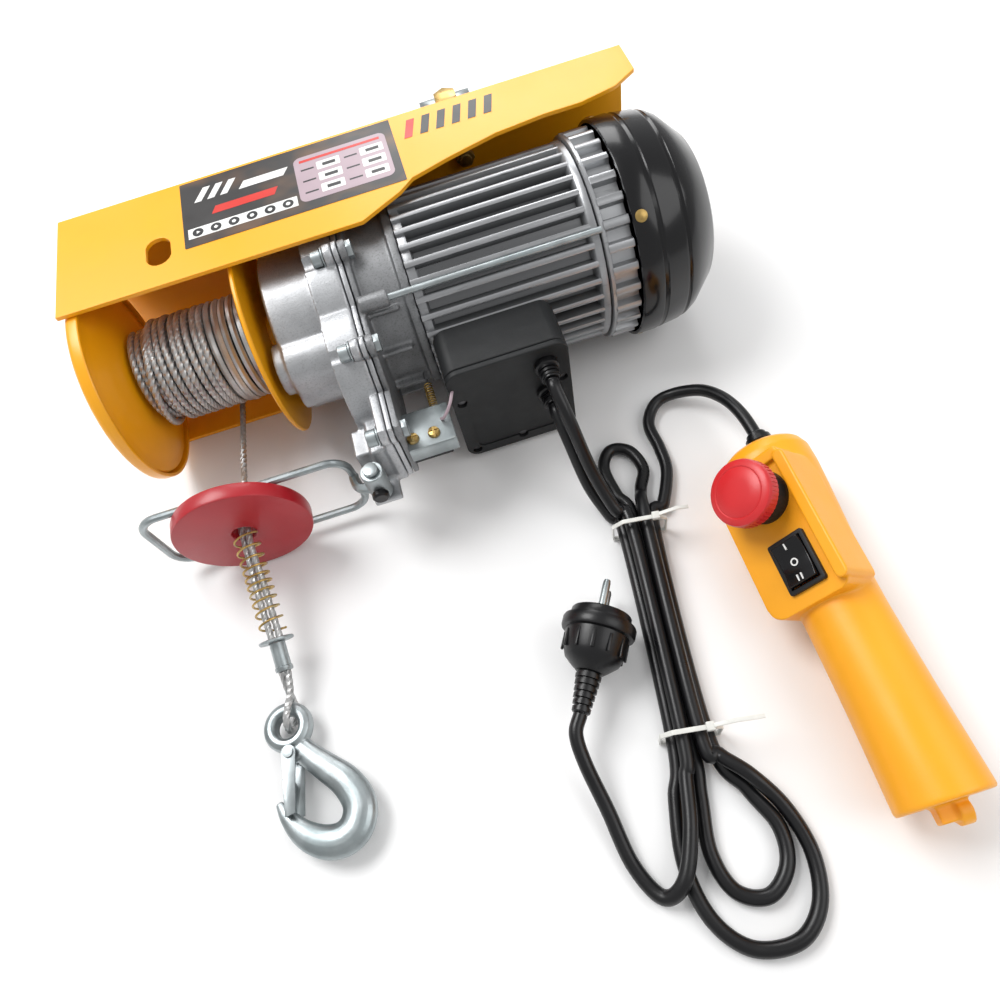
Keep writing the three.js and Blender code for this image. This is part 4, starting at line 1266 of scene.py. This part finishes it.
class HOIST_OT_pendant(bpy.types.Operator):
    """Pendant shell, emergency stop, rocker switch and gland"""

    bl_idname = "hoist.pendant"
    bl_label = "Pendant"

    def execute(self, context):
        grip = turned([
            (0, -402), (24, -402), (25.3, -401.6), (25.9, -400.4), (24, -345), (23.2, -300),
            (23.4, -284), (28.6, -204), (28.4, -192), (26, -186), (22, -183), (0, -182)
        ], 96)
        move(grip, placed("y", GRIP_X, 0, PENDANT[1]))
        head = move(slab(rounded(-30.5, 23.6, -290.6, -198.4, 9), 4, PANEL - 0.2), DIAGONAL)
        wall = move(slab(rounded(17.8, 25.4, -287, -203, 3.7), 4, PANEL + 5), DIAGONAL)
        brow = move(slab(rounded(-14, 22, -206, -198.4, 3.4), 4, PANEL + 3), DIAGONAL)
        lug = move(block(GRIP_X - 8, GRIP_X + 2, -411, -400, 26.5, 35.5), placed("z"))
        ring = move(rod(7, GRIP_X + 1.5, GRIP_X + 9, 40), placed("x", 0, -407, PENDANT[1]))
        shell = cast(together(grip, head, wall, brow, lug, ring), 0.8, 3, 0.45)
        eyelet = move(rod(3, GRIP_X - 2, GRIP_X + 12, 32), placed("x", 0, -408, PENDANT[1]))
        bore = move(rod(10.6, 12, 40, 48), DIAGONAL @ Matrix.Translation((0, STOP_Y * MM, 0)))
        window = move(block(-10, 10, ROCKER_Y - 14, ROCKER_Y + 14, 12, 40), DIAGONAL)
        finished(cut(shell, bore, window, eyelet), "pendant_housing", "pendant_plastic",
                 ["pendant_shell"], smooth=50)
        at_stop = DIAGONAL @ Matrix.Translation((0, STOP_Y * MM, 0))
        collar = turned([
            (10.4, PANEL - 0.8), (15.6, PANEL - 0.8), (16, PANEL), (15.6, PANEL + 3),
            (14.8, PANEL + 9.0), (14.2, PANEL + 9.6), (10.4, PANEL + 9.6)
        ], 64)
        finished(move(collar, at_stop), "stop_collar", "box_plastic", ["estop_collar"])
        cap = turned([
            (0, 12), (9.8, 12), (9.8, PANEL + 16), (19, PANEL + 16), (20, PANEL + 17),
            (20, PANEL + 24), (19.4, PANEL + 25.6), (18, PANEL + 26.5), (15.6, PANEL + 26.9),
            (15, PANEL + 26.5), (14.2, PANEL + 27), (7, PANEL + 27.8), (0, PANEL + 28)
        ], 96)
        grips = ring_of(48, lambda: block(19.6, 21, -0.5, 0.5, PANEL + 15, PANEL + 23))
        finished(
            move(cut(cap, together(*grips)), at_stop), "stop_mushroom", "button_red",
            ["estop_button"], body="estop")
        bezel = cut(round_edges(
            slab(rounded(-12, 12, ROCKER_Y - 16, ROCKER_Y + 16, 1.5), PANEL - 0.9, PANEL + 2.5),
            0.5, 2), block(-9.7, 9.7, ROCKER_Y - 13.6, ROCKER_Y + 13.6, PANEL - 4, PANEL + 5))
        finished(move(bezel, DIAGONAL), "rocker_frame", "box_plastic", ["rocker_bezel"])
        arch = [
            (ROCKER_Y - 8, PANEL - 7), (ROCKER_Y + 8, PANEL - 7), (ROCKER_Y + 12.8, PANEL + 2.5),
            (ROCKER_Y + 12.5, PANEL + 6), (ROCKER_Y + 6, PANEL + 4.0), (ROCKER_Y, PANEL + 3.2),
            (ROCKER_Y - 6, PANEL + 4.0), (ROCKER_Y - 12.5, PANEL + 6),
            (ROCKER_Y - 12.8, PANEL + 2.5)
        ]
        key = move(slab(arch, -9.2, 9.2), AXES["x"])
        finished(
            move(round_edges(key, 0.6, 3), DIAGONAL), "rocker_key", "gloss_black", ["rocker"],
            body="rocker")
        marks = []
        for y, parts in ((ROCKER_Y + 9.6, (0,)), (ROCKER_Y - 9.6, (-1.3, 1.3))):
            for x in parts:
                marks.append(block(x - 0.4, x + 0.4, y - 1.9, y + 1.9, PANEL + 4.9, PANEL + 5.9))
        ring = turned(
            [(1.5, PANEL + 3), (2.3, PANEL + 3), (2.3, PANEL + 3.7), (1.5, PANEL + 3.7)], 32)
        marks.append(shifted(ring, 0, ROCKER_Y, 0))
        finished(
            move(together(*marks), DIAGONAL), "rocker_marks", "white_plastic", finish="label_white",
            body="rocker")
        profile = [
            (CORD_R + 0.3, -181.8), (10.5, -181.8), (10.5, -178.8), (8.8, -177), (8.2, -175.4),
            (8.6, -174.8), (8.2, -171.6), (6.6, -171), (6.4, -168.6), (5.9, -168),
            (CORD_R + 0.3, -168)
        ]
        gland = move(turned(profile, 64), placed("y", PENDANT[0], 0, PENDANT[1]))
        finished(gland, "pendant_boot", "cord_rubber", ["pendant_gland"])
        return {"FINISHED"}


class HOIST_OT_inner_finishes(bpy.types.Operator):
    """Give the pieces that stay as built their own finishes"""

    bl_idname = "hoist.inner_finishes"
    bl_label = "Inner pieces"

    def execute(self, context):
        slots = {part["node"]: part["material_slot"] for part in frame["record"]["subparts"]}
        for name, node in frame["nodes"].items():
            if node.hide_render:
                continue
            node.data.materials.clear()
            node.data.materials.append(FINISHES[slots[name]])
            for face in node.data.polygons:
                face.material_index = 0
        return {"FINISHED"}


class HOIST_PT_panel(bpy.types.Panel):
    """Lists the hoist's pieces in the sidebar"""

    bl_idname = "HOIST_PT_panel"
    bl_label = "Wire rope hoist"
    bl_space_type = "VIEW_3D"
    bl_region_type = "UI"
    bl_category = "Hoist"

    def draw(self, context):
        for group in (context.scene.hoist_sizes, context.scene.hoist_colours):
            box = self.layout.box()
            for key in group.__annotations__:
                box.prop(group, key)
        for operator in OPERATORS:
            self.layout.operator(operator.bl_idname)


OPERATORS = (
    HOIST_OT_stage, HOIST_OT_cords, HOIST_OT_frame, HOIST_OT_label, HOIST_OT_drum, HOIST_OT_rope,
    HOIST_OT_gear_case, HOIST_OT_motor, HOIST_OT_control_box, HOIST_OT_switch, HOIST_OT_hook,
    HOIST_OT_pendant, HOIST_OT_inner_finishes
)
CLASSES = (HoistSizes, HoistColours, *OPERATORS, HOIST_PT_panel)


def register():
    for cls in CLASSES:
        bpy.utils.register_class(cls)
    bpy.types.Scene.hoist_sizes = bpy.props.PointerProperty(type=HoistSizes)
    bpy.types.Scene.hoist_colours = bpy.props.PointerProperty(type=HoistColours)


def unregister():
    del bpy.types.Scene.hoist_colours
    del bpy.types.Scene.hoist_sizes
    for cls in reversed(CLASSES):
        bpy.utils.unregister_class(cls)


def main():
    register()
    mix_finishes()
    for operator in OPERATORS:
        group, name = operator.bl_idname.split(".")
        getattr(getattr(bpy.ops, group), name)()


if __name__ == "__main__":
    main()
